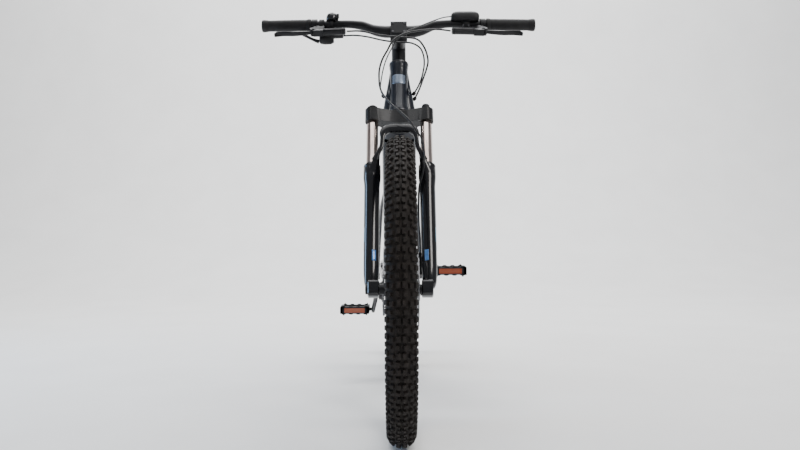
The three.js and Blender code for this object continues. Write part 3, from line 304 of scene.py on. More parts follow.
# ---------------------------------------------------------------- wheels
def knobby(name, cy, body_nodes):
    R0, a, b = 329.5, 31.2, 28.6               # carcass centre circle, half width, half height
    prof = []
    for k in range(41):
        t = math.radians(-58 + 296 * k / 40); prof.append((a * cos(t), R0 + b * sin(t)))
    prof += [(-15.2, 297.0), (-14.6, 303.2), (14.6, 303.2), (15.2, 297.0)]
    N = 144; v, f = [], []
    for i in range(N):
        th = 2 * pi * i / N
        v += [(x, cy + r * cos(th), 365 + r * sin(th)) for x, r in prof]
    m = len(prof)
    for i in range(N):
        for j in range(m):
            f.append((i * m + j, i * m + (j + 1) % m, ((i + 1) % N) * m + (j + 1) % m, ((i + 1) % N) * m + j))
    pl = Pile(); pl.put(v, f, 0)
    def knob(th, phi, wl, wc, h, skew=0.0, lift=-1.2, nb=0):  # phi: angle round the section; wl across, wc along
        cx, cr = a * sin(phi), R0 + b * cos(phi); nx, nr = sin(phi) / a, cos(phi) / b
        q = math.hypot(nx, nr); nx, nr = nx / q, nr / q; tx, tr = nr, -nx; out = []
        for hh, sc in ((lift, 1.0), (h * 0.72, 0.93), (h, 0.86)):
            for sx, sc2 in ((-1, -1), (1, -1), (1, 1), (-1, 1)):
                l, c = sx * wl / 2 * sc, sc2 * wc / 2 * sc + sx * skew * wl / 2
                x, r = cx + nx * hh + tx * l, cr + nr * hh + tr * l
                aa = th + c / 365; out.append((x, cy + r * cos(aa), 365 + r * sin(aa)))
        vv, ff = rings([out[0:4], out[4:8], out[8:12]]); pl.put(vv, ff, 0)
        if nb:                                   # no sipe is drawn: this branch does nothing
            pass
    U = 64
    for i in range(U):
        t = 2 * pi * i / U; g = 2 * pi / U
        for s in (-1, 1):
            knob(t, s * 0.155, 8.2, 13.5, 6.6, s * 0.16)
            knob(t + g * 0.5, s * 0.235, 9.0, 10.5, 6.5, -s * 0.12)
            knob(t + g * 0.08, s * 0.60, 9.2, 11.0, 5.9, s * 0.25)
            knob(t + g * 0.55, s * 0.78, 10.5, 9.0, 5.4, s * 0.1)
            knob(t + g * 0.02, s * 1.12, 12.0, 12.5, 4.2, 0)
            knob(t + g * 0.52, s * 1.17, 9.5, 11.0, 3.9, 0)
            knob(t + g * 0.02, s * 1.46, 5.0, 10.0, 1.6, 0)
    for s in (-1, 1):                            # rim protector line and moulded bead ring on the sidewall
        for ph, hh in ((2.22, 0.9), (1.86, 0.5)):
            loop = []
            for i in range(N):
                th = 2 * pi * i / N; cx, cr = s * a * sin(ph), R0 + b * cos(ph); loop.append((cx + s * hh * 0.4, cy + (cr - hh * 0.3) * cos(th), 365 + (cr - hh * 0.3) * sin(th)))
            pl.put(*tube(loop, 0.9 + hh * 0.5, 6, closed=True), 0)
    o = pl.make(name, "tyre", smooth=math.radians(38), bevel=0.55, seg=1)
    return stands(o, body_nodes)
knobby("tyre_tread_front", 0, "tyre_front"); knobby("tyre_tread_rear", 1148, "tyre_rear")

def rim(name, cy, node):
    prof = [(-17.3, 300.2), (-16.9, 300.4), (-16.2, 299.6), (-15.4, 297.2), (-15.2, 293.6), (-14.4, 292.6), (-8, 291.6), (-5, 288.6), (5, 288.6), (8, 291.6), (14.4, 292.6), (15.2, 293.6),
            (15.4, 297.2), (16.2, 299.6), (16.9, 300.4), (17.3, 300.2), (17.4, 296), (16.6, 289.5), (13.5, 284.0), (8.5, 281.4), (0, 281.0), (-8.5, 281.4), (-13.5, 284.0), (-16.6, 289.5), (-17.4, 296)]
    N, m, v, f = 144, len(prof), [], []
    for i in range(N):
        th = 2 * pi * i / N; v += [(x, cy + r * cos(th), 365 + r * sin(th)) for x, r in prof]
    for i in range(N):
        f += [(i * m + j, i * m + (j + 1) % m, ((i + 1) % N) * m + (j + 1) % m, ((i + 1) % N) * m + j) for j in range(m)]
    stands(mesh_obj(name, v, f, "gloss_black", smooth=math.radians(30)), node)
rim("rim_section_front", 0, "rim_front"); rim("rim_section_rear", 1148, "rim_rear")

def spokes(name, cy, xl, xr, fr, node, hubprof, n=32):
    pl = Pile(); c = (0, cy, 365)
    for k in range(n):
        s = 1 if k % 2 else -1; fx = xl if s > 0 else -xr; lead = 1 if (k // 2) % 2 else -1
        rimA = 2 * pi * (k + 0.5) / n; hubA = rimA + lead * math.radians(68)
        A = Vector((fx + s * lead * 1.2, cy + fr * cos(hubA), 365 + fr * sin(hubA)))
        B = Vector((s * 2.2, cy + 281.2 * cos(rimA), 365 + 281.2 * sin(rimA)))
        pl.put(*rod(A, B, 1.0, 6, ch=0.1), 0)
        d = (B - A).normalized(); pl.put(*turned(B - d * 13, B + d * 0.4, [(0, 1.2), (1.2, 1.75), (12, 1.85), (13.4, 2.3)], 8), 2)
        pl.put(*rod(A + Vector((s * lead * -0.2, 0, 0)), A + Vector((s * lead * 1.0, 0, 0)), 1.9, 8, ch=0.3), 0)
    pl.put(*turned((0, cy, 365), (1, cy, 365), hubprof, 48), 1)
    va = 2 * pi * 0.0 + 2 * pi * 1.0 / n           # valve, with its cap and lock nut
    d = Vector((0, -cos(va), -sin(va))); q = Vector((0, cy, 365)) - d * 281
    pl.put(*turned(q, q + d * 34, [(0, 5.2), (3.4, 5.2), (3.6, 2.9), (24, 2.8), (24.2, 3.9), (31, 3.7), (34, 2.6)], 16), 3)
    o = pl.make(name, ["spoke", "anod", "bolt", "plastic"], smooth=math.radians(32)); stands(o, node)
spokes("hub_spokes_front", 0, 28, 28, 24, "hub_and_spokes_front", [(-49.2, 8), (-49, 12), (-36, 12.5), (-34, 16), (-30.4, 19), (-30.2, 26.6), (-26.2, 26.8), (-25.8, 17), (-20, 14.6), (20, 14.6), (25.8, 17), (26.2, 26.8), (30.2, 26.6), (30.4, 20), (39, 20.5), (40.2, 20.4), (40.6, 12), (49.0, 12), (49.2, 8)])
spokes("hub_spokes_rear", 1148, 34, 27, 24, "hub_and_spokes_rear", [(-33.2, 6.6), (-33, 14), (-29.4, 19), (-29.2, 26.6), (-25.2, 26.8), (-24.8, 19), (-18, 17), (24, 16), (31.8, 18), (32.2, 26.8), (36.2, 26.6), (36.4, 20), (51, 20.5), (52.4, 20.4), (52.6, 12), (70.6, 12), (70.8, 6.6)])

def plate2d(name, outline_list, x0, x1, mat, node=None, bevel=0.25, ax="x"):
    cu = bpy.data.curves.new(name, "CURVE"); cu.dimensions = "2D"; cu.fill_mode = "BOTH"
    cu.extrude = max((x1 - x0) / 2 - bevel, 0.05) / 1000; cu.bevel_depth = bevel / 1000; cu.bevel_resolution = 1; cu.offset = -bevel / 1000
    for pts in outline_list:
        sp = cu.splines.new("POLY"); sp.points.add(len(pts) - 1); sp.use_cyclic_u = True
        for q, (y, z) in zip(sp.points, pts): q.co = (y / 1000, z / 1000, 0, 1)
    o = bpy.data.objects.new(name + "_curve", cu); bpy.context.scene.collection.objects.link(o)
    dg = bpy.context.evaluated_depsgraph_get(); me = bpy.data.meshes.new_from_object(o.evaluated_get(dg)); me.name = name
    bpy.data.objects.remove(o)
    xm = (x0 + x1) / 2000
    me.transform(Matrix(((0, 0, 1, xm), (1, 0, 0, -MID), (0, 1, 0, 0), (0, 0, 0, 1))))
    bm = bmesh.new(); bm.from_mesh(me); bmesh.ops.remove_doubles(bm, verts=bm.verts, dist=1e-6); bmesh.ops.recalc_face_normals(bm, faces=bm.faces); bm.to_mesh(me); bm.free()
    me.materials.clear(); me.materials.append(M[mat]); me.polygons.foreach_set("use_smooth", [True] * len(me.polygons)); me.set_sharp_from_angle(angle=math.radians(28))
    q = bpy.data.objects.new(name, me); bpy.context.scene.collection.objects.link(q); q.data.name = name
    if node: stands(q, node)
    return q

def circ(cy, cz, r, n=24, f=None):
    return [(cy + (r if f is None else f(2 * pi * k / n)) * cos(2 * pi * k / n), cz + (r if f is None else f(2 * pi * k / n)) * sin(2 * pi * k / n)) for k in range(n)]

def rotor(name, cy, x, node):
    cz = 365; out = [circ(cy, cz, 0, 144, lambda t: 88.9 + 1.0 * math.tanh(2.5 * sin(12 * t)))]
    for k in range(6):                           # windows between the six swept arms
        t0 = k * pi / 3; w = []
        for i in range(9): w.append((73.5, t0 + 0.06 + i * 0.105))
        for i in range(7): w.append((34, t0 + 0.36 + 0.92 - i * 0.115))
        # the arms sweep forward: shear the inner edge round
        out.append([(cy + r * cos(t), cz + r * sin(t)) for r, t in w])
    for k in range(36):
        t = 2 * pi * k / 36
        for r, d in (((77.3, 1.9), (84.6, 1.7)) if k % 2 else ((81.0, 2.3),)):
            out.append(circ(cy + r * cos(t), cz + r * sin(t), d, 10))
    out.append(circ(cy, cz, 20.9, 32))
    for k in range(6):
        t = k * pi / 3 + 0.2; out.append(circ(cy + 26.5 * cos(t), cz + 26.5 * sin(t), 2.4, 10))
    plate2d(name, out, x - 0.95, x + 0.95, "steel", node, 0.15)
    pl = Pile()
    for k in range(6):
        t = k * pi / 3 + 0.2; q = Vector((x + 0.9, cy + 26.5 * cos(t), cz + 26.5 * sin(t))); pl.put(*hex_bolt(q, (1, 0, 0), 3.9, 1.6), 0)
    trim(pl.make(name + "_bolts", "bolt", smooth=math.radians(30)), BODY[node])
rotor("rotor_disc_front", 0, 42, "brake_rotor_front"); rotor("rotor_disc_rear", 1148, 54, "brake_rotor_rear")

# ---------------------------------------------------------------- fork
for n, s in (("left", 1), ("right", -1)):
    stands(mesh_obj("stanchion_tube_" + n, *turned((s * 70, -34, 0), (s * 70, -34, 1), [(190, 14.2), (190.8, 15), (498.4, 15), (499.4, 14.2), (500.6, 12.4), (500.6, 11.4), (499.4, 10.8), (499.4, 2)], 64), "chrome", to=S, smooth=math.radians(40)), "stanchion_" + n)
def lowers():
    pl = Pile()
    for s in (-1, 1):
        leg = [(6, 11.5), (6.4, 12.6), (12, 15.2), (20, 17.4), (40, 18.9), (62, 19.4), (200, 19.4), (270, 19.5), (282, 20.2), (294, 21.7), (300, 22), (322, 22), (324, 21.4), (326, 21.4), (328, 21.9), (331.5, 21.8), (334, 20.8), (334.9, 19.0), (334.9, 16.0), (330, 15.6)]
        pl.put(*turned((s * 70, -34, 0), (s * 70, -34, 1), leg, 56), 0)
        pl.put(*turned((s * 70, -34, 0), (s * 70, -34, 1), [(330, 15.2), (335.2, 15.3), (337.2, 16.4), (338.2, 16.2), (338.4, 15.1)], 40), 2)
        lo, hi = (51, 78) if s > 0 else (-78, -51)
        drop = [[(x, -60 + 3 * k, -20 + 4 * k) for x in (lo, hi)] for k in (0,)]
        out = []
        for x, g in ((lo, 2.0), (lo + 2, 0), (hi - 2, 0), (hi, 2.0)):
            l = []
            for cy2, cz2, q0 in ((-26 - g, 22 - g, 0), (-58 + g, 22 - g, 1), (-58 + g, -18 + g, 2), (-26 - g, -18 + g, 3)):
                for j in range(5):
                    t = pi / 2 * (q0 + j / 4); r = 8; l.append((x, cy2 + (r * cos(t) - (r if q0 in (0, 3) else -r)), cz2 + (r * sin(t) - (r if q0 in (0, 1) else -r))))
            out.append(l)
        pl.put(*rings(out), 0)
        pl.put(*rings([sup((s * (70 - 13 * k), -46 - 11 * k, 300 + 46 * k + 4 * k * k), 17 - 9.5 * k, 8.5 - 2.6 * k, (1, 0, 0), (0, 1, 0), 28, 2.4) for k in (0, 0.2, 0.45, 0.7, 0.9, 1.0)]), 0)
    path = spline([(-62, -58.5, 338), (-54.5, -60, 356), (-45.5, -61, 376), (-43.6, -61.2, 398), (-41, -61.3, 415), (-30, -61.3, 425.5), (0, -61.3, 428), (30, -61.3, 425.5), (41, -61.3, 415), (43.6, -61.2, 398), (45.5, -61, 376), (54.5, -60, 356), (62, -58.5, 338)], 5)
    loops = []
    for i, q in enumerate(path):
        a, b = path[max(i - 1, 0)], path[min(i + 1, len(path) - 1)]; d = Vector(b - a).normalized(); u = Vector((0, 1, 0)); w = d.cross(u).normalized()
        k = abs(i / (len(path) - 1) * 2 - 1); loops.append(sup(q, 5.7, 11.4 - 5.6 * max(0, min(1, (k - 0.28) / 0.2)) + 3.2 * max(0, (k - 0.8) / 0.2), u, w, 24, 3.0))
    pl.put(*rings(loops), 0)
    return stands(pl.make("fork_castings", ["fork", "dark_steel", "rubber"], to=S, smooth=math.radians(34), bevel=0.0), "fork_lowers")
lowers()
# the light-blue decal panels on the legs, and the blue bands and lines that are painted reflections of the blue window
# light and the sky, as thin films just proud of the paint (plain colour only)
def leg_patch(name, s, s0, s1, t0, t1, mat, r=19.46, n=14):
    v, f = [], []
    for i in range(9):
        ss = s0 + (s1 - s0) * i / 8
        for j in range(n + 1):
            t = math.radians(t0 + (t1 - t0) * j / n); v.append((s * 70 + r * sin(t), -34 - r * cos(t), ss))
    f = [(i * (n + 1) + j, i * (n + 1) + j + 1, (i + 1) * (n + 1) + j + 1, (i + 1) * (n + 1) + j) for i in range(8) for j in range(n)]
    o = mesh_obj(name, v, f, mat, to=S, smooth=None); m = o.modifiers.new("film", "SOLIDIFY"); m.thickness = 0.0002; m.offset = 0
    trim(o, "lowers")
for s in (-1, 1):
    n = "left" if s > 0 else "right"
    leg_patch("fork_panel_" + n, s, 122, 160, s * 72 - 10, s * 72 + 10, "sky", 19.5)
    # painted reflection: a blue band low on each leg's inner front stands in for the sky reflected there
    leg_patch("fork_painted_sky_reflection_" + n, s, 70, 98, -s * 20 - 15, -s * 20 + 15, "blue", 19.42)
    # painted highlight: a thin blue line down each leg's side stands in for the blue window light reflected on the
    # gloss paint
    leg_patch("fork_painted_blue_highlight_" + n, s, 100, 262, s * 80 - 2.5, s * 80 + 2.5, "blue", 19.5)
refine("steerer_crown", "crown", 2.0, 32, 3)
cap = Pile(); cap.put(*turned((-70, -34, 0), (-70, -34, 1), [(501.2, 12), (501.2, 14.2), (504, 14.2), (505, 13.4), (505.2, 9.5), (508.5, 9.2), (509, 8.2), (509, 5.4), (506, 5.2)], 36), 0)
trim(cap.make("fork_air_cap", "anod", to=S, smooth=math.radians(30)), "steering")
kn = Pile(); out = []
for t, r in ((501.4, 9.4), (501.4, 9.9), (503, 10.2), (508, 10.4), (511, 9.7), (512.6, 8.2), (512.9, 6.8), (512.2, 6.0)):
    out.append([(70 + (r + (0.35 * sin(12 * 2 * pi * k / 72) if 502 < t < 510 else 0)) * cos(2 * pi * k / 72), -34 + (r + (0.35 * sin(12 * 2 * pi * k / 72) if 502 < t < 510 else 0)) * sin(2 * pi * k / 72), t) for k in range(72)])
kn.put(*rings(out), 0); kn.put(*block(64, 76, -35.4, -32.6, 511.8, 512.9), 1)
stands(kn.make("lockout_dial", ["anod", "blue"], to=S, smooth=math.radians(34)), "fork_lockout_knob")
refine("brake_caliper_front", "anod", 0.8, 30, 2); refine("brake_caliper_rear", "anod", 0.5, 30, 2)
cb = Pile()
for z in (60, 94):
    cb.put(*hex_bolt((48, 19, z), (0, 1, 0), 3.6, 2.0), 0)
trim(cb.make("caliper_bolts_front", "bolt", smooth=math.radians(30)), "lowers") if False else None
ax = Pile()
ax.put(*turned((-84, -40.65 + 40.65, 365), (63, 0, 365), [(0, 7.8), (0, 10.6), (1.2, 11.7), (2, 11.9), (6.4, 11.9), (7.5, 11.4), (7.6, 7.4), (147, 7.4)], 48), 0)
stands(ax.make("thru_axle_front", "anod", smooth=math.radians(30)), "front_axle")
ax = Pile(); ax.put(*turned((-86, 1148, 365), (87, 1148, 365), [(0, 6.6), (0, 8.0), (0.8, 8.8), (5.2, 8.8), (5.4, 5.9), (166.6, 5.9), (166.8, 9.9), (168, 10.9), (171.8, 10.9), (173, 10.0), (173, 6.2)], 48), 0)
stands(ax.make("thru_axle_rear", "anod", smooth=math.radians(30)), "rear_axle")

# ---------------------------------------------------------------- cockpit
hd = Pile()
for a, b, r in ((663.9, 667.6, 19.4), ):
    pass
top = Pile(); top.put(*turned((0, 0, 0), (0, 0, 1), [(728.6, 10), (731.9, 13), (732.2, 18.4), (733.4, 18.9), (734.6, 18.4), (735.4, 16), (735.7, 8), (735.7, 4.2), (733, 4.0)], 44), 0)
top.put(*hex_bolt((0, 0, 734.0), (0, 0, 1), 4.2, 2.4), 1)
trim(top.make("headset_top_cap", ["anod", "bolt"], to=S, smooth=math.radians(30)), "steering")
refine("stem", "anod", 1.4, 28, 3); refine("stem_faceplate", "anod", 5.0, 30, 4)
bl = Pile()
for x in (-15.5, 15.5):
    for s2 in (709, 737): bl.put(*hex_bolt((x, -86.6, s2), (0, -1, 0), 3.4, 2.2), 0)
for s2 in (678, 694): bl.put(*hex_bolt((12, 18.0, s2), (0, 1, 0), 3.2, 2.0), 0)
trim(bl.make("stem_bolts", "bolt", to=S, smooth=math.radians(30)), "steering")
bar = [(-368, 286, 1066, 11.1), (-300, 278.5, 1065, 11.1), (-200, 267.5, 1063.8, 11.1), (-118, 258.5, 1062, 11.1), (-96, 256.5, 1058, 12.5), (-66, 255.2, 1046, 14.5), (-44, 255, 1042, 15.9), (0, 255, 1042, 15.9)]
bar = bar + [(-x, y, z, r) for x, y, z, r in bar[-2::-1]]
sm = spline(bar, 6, centri=1.0)
stands(mesh_obj("riser_bar", *rings([[Vector((q[0], q[1] + q[3] * cos(2 * pi * k / 40), q[2] + q[3] * sin(2 * pi * k / 40))) for k in range(40)] for q in sm]), "anod", smooth=math.radians(40)), "handlebar")
def on_bar(x):
    s = 1 if x > 0 else -1; x2 = min(abs(x), 368); P2 = [(118, 258.5, 1062), (200, 267.5, 1063.8), (300, 278.5, 1065), (368, 286, 1066)]
    for a, b in zip(P2, P2[1:]):
        if x2 <= b[0]:
            t = (x2 - a[0]) / (b[0] - a[0]); return Vector((x, a[1] + t * (b[1] - a[1]), a[2] + t * (b[2] - a[2])))
def grip(name, s, node):
    loops, n = [], 48
    prof = [(238, 12.2), (238, 15.4), (238.8, 16.3), (242, 16.6), (246, 16.5), (248.5, 15.4), (250, 14.9)]
    x = 251.0
    while x < 354:                               # fine ribs, over a grip slightly fuller in the middle
        d = 0.42; c = 15.2 + 0.35 * sin((x - 250) / 105 * pi); prof += [(x, c - d), (x + 0.7, c), (x + 2.0, c), (x + 2.7, c - d)]; x += 3.6
    prof += [(356, 15.6), (362, 16.2), (366, 16.7), (370, 16.6), (372.4, 15.6), (373.4, 13.4), (373.4, 9.6), (372.6, 9.2)]
    for xx, r in prof:
        c = on_bar(s * xx); loops.append([Vector((s * xx, c.y + r * cos(2 * pi * k / n), c.z + r * sin(2 * pi * k / n))) for k in range(n)])
    stands(mesh_obj(name, *rings(loops), "rubber", smooth=math.radians(42)), node)
grip("ribbed_grip_left", 1, "grip_left"); grip("ribbed_grip_right", -1, "grip_right")
LEV = Matrix.Translation((231, 238, 1036)) @ Matrix.Rotation(0.11, 4, "Z") @ Matrix.Rotation(math.atan2(0.58, 0.815), 4, "X")
def lev(s):
    def to(x, y, z):
        q = LEV @ Vector((x, y, z)); return P(s * q.x, q.y, q.z)
    return to
for n, s in (("left", 1), ("right", -1)):
    refine("brake_lever_body_" + n, "anod", 1.1, 30, 2)
    keys = spline([(1, 0.4, 4.5, 3.8), (20, -3, 5.5, 3.3), (50, -5, 6.4, 3.0), (80, -1.4, 7, 3.0), (95, -4.4, 7, 3.3), (101.4, -9, 5.4, 3.1)], 5)
    pl = Pile(); loops = [sup((q[0], q[1], 0), q[3], q[2], (0, 1, 0), (0, 0, 1), 28, 2.6) for q in keys]
    tip = keys[-1]; loops += [sup((tip[0] + 0.8, tip[1] - 0.9, 0), 2.4, 4.2, (0, 1, 0), (0, 0, 1), 28, 2.2), sup((tip[0] + 1.1, tip[1] - 1.3, 0), 1.2, 2.6, (0, 1, 0), (0, 0, 1), 28, 2.0)]
    pl.put(*rings(loops), 0); pl.put(*turned((2, 0, -5.2), (2, 0, 5.2), [(0, 4.2), (0.7, 5), (9.7, 5), (10.4, 4.2)], 28), 0)
    stands(pl.make("lever_blade_" + n, "anod", to=lev(s), smooth=math.radians(40)), "brake_lever_" + n)
    t = Pile(); t.put(*hex_bolt((-4, 4, 9.7), (0, 0, 1), 4.6, 1.6), 0); t.put(*hex_bolt((-6, 36 - 24, -8.0), (0, 0, -1), 3.0, 1.4), 0)
    t.put(*turned((-89.5, 2, 0), (-80, 2, 0), [(0, 4.0), (0, 6.6), (1, 7.8), (5, 8.2), (6, 9.7), (9, 9.9), (9.5, 9.0)], 28), 1)
    for k in range(2): t.put(*hex_bolt((-62 + k * 30, 2, 9.0), (0, 0, 1), 2.2, 1.2), 0)
    trim(t.make("lever_fittings_" + n, ["bolt", "anod"], to=lev(s), smooth=math.radians(30)), "steering")
refine("shifter_body", "plastic", 1.6, 34, 3)
k2 = spline([(-216.4, 266, 1018, 5.6, 5.6), (-232, 266, 1024, 5, 4), (-250, 266, 1033, 7, 3.9), (-261, 266, 1038.4, 7.9, 3.8), (-265, 266, 1040.4, 6.6, 3.2)], 5)
lp = [sup(q[:3], q[3], q[4], (0, 1, 0), (0.4, 0, 0.9), 28, 2.5) for q in k2] + [sup((-265.9, 266, 1040.8), 4.4, 1.8, (0, 1, 0), (0.4, 0, 0.9), 28, 2.2)]
stands(mesh_obj("thumb_paddle", *rings(lp), "plastic", smooth=math.radians(40)), "shifter_thumb_lever")
# bell: clamp and base from the part, a spun dome over them
c = on_bar(-180)
pl = Pile(); pl.put(*turned(c, c + Vector((0, 0, 1)), [(11.7, 15.4), (11.7, 16.4), (12.4, 16.7), (15, 16.6), (18, 16.3), (22, 15.6), (26, 14.2), (29.4, 11.6), (31.8, 8), (33.2, 4), (33.8, 1.2)], 64), 0)
pl.put(*turned(c, c + Vector((0, 0, 1)), [(9, 9), (11.8, 9), (11.8, 12), (12.4, 13)], 32), 1)
pl.put(*turned(c + Vector((0, 0, 33)), c + Vector((0, 0, 34)), [(0, 2.6), (0.6, 2.6), (0.95, 2.0), (0.95, 0.5)], 24), 1)
pl.put(*turned(on_bar(-184.4), on_bar(-175.6), [(0, 12.2), (0, 13.8), (0.8, 14.3), (8, 14.3), (8.8, 13.8), (8.8, 12.2)], 40), 1)
pl.put(*block(-184, -176, 252, 264, 1046, 1052), 1)
stands(pl.make("bell_dome", ["gloss_black", "plastic"], smooth=math.radians(34)), "bell")
refine("bell_striker", "plastic", 0.6, 30, 2)
ol = spline([(243, 1071, 0), (243.5, 1088, 0), (250, 1094, 0), (258, 1096.6, 0), (283, 1090.2, 0), (289.4, 1083, 0), (284.6, 1077, 0)], 4, closed=True); lp = []
for x, k, kz in ((142.2, 0.62, 0.50), (143.4, 0.80, 0.66), (147, 0.93, 0.84), (154, 0.985, 0.96), (162, 1, 1), (196, 1, 1), (206, 0.985, 0.96), (213, 0.93, 0.84), (216.6, 0.80, 0.66), (217.8, 0.62, 0.50)):
    lp.append([(x, 265 + (q[0] - 265) * k, 1079 + (q[1] - 1079) * (kz if q[1] > 1079 else k)) for q in ol])
dq = Pile(); dq.put(*rings(lp), 0); dq.put(*turned(on_bar(172), on_bar(190), [(0, 12.2), (0, 14.9), (0.8, 15.5), (17.2, 15.5), (18, 14.9), (18, 12.2)], 40), 1)
for x in (174, 188): dq.put(*hex_bolt((x, 246, 1056), (0, -1, 0), 2.4, 1.6), 2)
stands(dq.make("display_housing", ["plastic", "plastic", "bolt"], smooth=math.radians(40)), "display")
# display glass set on the sloped front and top, and the button's rubber cap
dg = Pile()
def quad_patch(a, b, c2, d2, h, m):
    A, B, C, D = (Vector(q) for q in (a, b, c2, d2)); nn = (B - A).cross(D - A).normalized(); lo = [A - nn * 0.3, B - nn * 0.3, C - nn * 0.3, D - nn * 0.3]; hi = [A + nn * h, B + nn * h, C + nn * h, D + nn * h]
    dg.put(*rings([lo, hi]), m)
quad_patch((160, 259, 1096.5), (197, 259, 1096.5), (197, 282, 1090.6), (160, 282, 1090.6), 0.5, 0)
quad_patch((160, 243.2, 1076), (176, 243.2, 1076), (176, 243.6, 1086.5), (160, 243.6, 1086.5), 0.5, 0)
trim(dg.make("display_glass", ["screen", "plastic"], smooth=math.radians(30), bevel=0.5), "steering")
refine("display_button", "rubber", 1.4, 30, 3)

# ---------------------------------------------------------------- hoses and cables
def hose(name, node, pts, r, far=("steering", None)):
    path = spline(pts, 5); v, f = tube(path, r, 12)
    o = mesh_obj(name, v, f, "hose", smooth=math.radians(60))
    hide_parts(node)
    if far[1]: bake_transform(o)
    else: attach(o, far[0])
def Sm(x, y, s): q = S(x, y, s); return (q.x * 1000, (q.y + MID) * 1000, q.z * 1000)
hose("hose_front_line", "brake_hose_front", [(138, 229, 1037), (100, 212, 1037), (55, 199, 1031), (15.9, 192, 1021), (-14.7, 186, 1002), (-30, 182, 975), (-43.2, 180, 951), (-50.9, 178, 925), (-52, 174, 899), (-50.4, 168, 880), (-43.6, 156, 859), (-21.3, 134, 828), (5.7, 116, 802), (26.7, 104, 779), (44, 104, 752), Sm(54, -80, 392), Sm(60, -75, 372), Sm(62.5, -71.5, 350), Sm(61.5, -71, 324), Sm(57, -64, 296), Sm(49, -53, 268), Sm(46.8, -38, 230), Sm(47, -22, 190), Sm(49, -6, 150), Sm(50, 4, 125), Sm(50, 8, 107.5)],
     2.5, ("steering", "lowers"))
hose("display_lead", "display_cable", [(141, 246, 1080), (118, 236, 1074), (80, 224, 1058), (45, 212, 1041), (16, 198, 1026), (-6, 193.5, 1004), (-22, 193, 977), (-34, 199, 953), (-42, 204, 928), (-47, 216, 905), (-49.5, 238, 892), (-49, 262, 882), (-44, 281, 873.5)], 1.7, ("steering", "frame"))
hose("hose_rear_line", "brake_hose_rear", [(-138, 229, 1037), (-100, 212, 1033), (-50, 203, 1020), (0, 200, 1014), (48.6, 205, 1009), (63.8, 205, 993), (73.6, 208, 972), (77.2, 215, 952), (74, 222, 936), (66, 240, 914), (58, 262, 894), (50, 282, 878), (44, 293, 868)], 2.5, ("steering", "frame"))
hose("shift_housing", "shift_cable", [(-148.4, 254.6, 1031), (-120, 241, 1029), (-85, 224, 1021), (-40, 212, 1008), (0, 208, 1002), (34, 209, 1000), (56, 212, 988), (65, 216, 970), (67.5, 223, 950), (65, 232, 930), (59, 247, 909), (51, 266, 893), (42, 280, 880)], 2.3, ("steering", "frame"))

# ---------------------------------------------------------------- frame
for n, b in (("head_tube", 1.2), ("top_tube", 0.0), ("down_tube", 0.8), ("seat_tube", 1.0), ("rear_stay_left", 0.8), ("rear_stay_right", 0.8)):
    refine(n, "paint", b, 36, 2)
refine("battery_pack", "plastic", 1.0, 40, 2); refine("drive_unit", "plastic", 3.0, 30, 3)
hp = Pile()                                     # headset cups' bearing rings and the plain badge on the head tube
hp.put(*turned((0, 0, 0), (0, 0, 1), [(505.0, 24.5), (505.0, 28.0), (505.6, 28.8), (507, 29.0), (507.6, 28.6), (507.6, 20)], 56), 0)
hp.put(*turned((0, 0, 0), (0, 0, 1), [(657.5, 24), (657.8, 26.4), (658.6, 26.6), (662.4, 26.4), (663.3, 25.0), (663.4, 18)], 56), 0)
hp2 = hp.make("headset_rings", "dark_steel", to=S, smooth=math.radians(30)); trim(hp2, "frame")
def shell_patch(name, s0, s1, t0, t1, mat, r, n=16, rows=12, rc=0.10, bulge=0.0, body="frame"):
    v, f = [], []
    for i in range(rows + 1):
        a = i / rows
        for j in range(n + 1):
            b2 = j / n; k = 1 - max(0, abs(a - 0.5) * 2 - (1 - rc)) * (1 / rc) * 0.18
            t = math.radians((t0 + t1) / 2 + (t1 - t0) * (b2 - 0.5) * k); rr = r + bulge * (1 - (2 * a - 1) ** 4) * (1 - (2 * b2 - 1) ** 4)
            v.append((rr * sin(t), -rr * cos(t), s0 + (s1 - s0) * a))
    f = [(i * (n + 1) + j, i * (n + 1) + j + 1, (i + 1) * (n + 1) + j + 1, (i + 1) * (n + 1) + j) for i in range(rows) for j in range(n)]
    o = mesh_obj(name, v, f, mat, to=S, smooth=None); m = o.modifiers.new("thick", "SOLIDIFY"); m.thickness = 0.0009; m.offset = 0
    m2 = o.modifiers.new("edge", "BEVEL"); m2.width = 0.0004; m2.segments = 2; trim(o, body)
shell_patch("head_badge", 588, 616, -44, 44, "badge", 24.3, bulge=0.5)
gus = Pile()                                    # the flared shoulders where the head tube widens into the down tube
gus.put(*rings([sup((0, y, s2), a2, b2, (1, 0, 0), (0, 1, 0), 56, 2.5) for s2, y, a2, b2 in ((657, 6, 19, 14), (652, 7, 22.5, 17), (640, 8, 25, 18.5), (617, 10, 28.5, 20), (595, 13, 32.2, 21), (572, 16, 36.6, 22.5), (545, 20, 41, 24), (528, 23, 43.5, 26), (519, 25, 43.8, 27), (516.5, 26, 42, 26))]), 0)
trim(gus.make("head_shoulders", "paint", to=S, smooth=math.radians(50)), "frame")
# the yoke that joins the down tube's lower end to the drive unit, and the seat tube's foot on it
yk = Pile(); loops = []
for y, z, a2, b2 in ((596, 443.6, 49.6, 41.6), (598, 440.8, 51.4, 43.4), (620, 410.5, 51.6, 43.8), (634, 391, 51.2, 43.0), (652, 366, 46, 38)):
    dn = Vector((0, 0.588, -0.809)); loops.append(sup((0, y, z), a2, b2, (1, 0, 0), Vector((0, 0.809, 0.588)), 56, 3.2))
yk.put(*rings(loops), 0)
d2 = Vector((0, cos(math.radians(74)), sin(math.radians(74)))); t2 = Vector((0, 811.5, 722.4))
yk.put(*turned(t2 - d2 * 302, t2 - d2 * 350, [(0, 18), (0.6, 23.6), (2, 24.6), (20, 25.4), (30, 29), (40, 34), (48, 36)], 48), 0)
trim(yk.make("drive_unit_yoke", "paint", smooth=math.radians(34)), "frame")
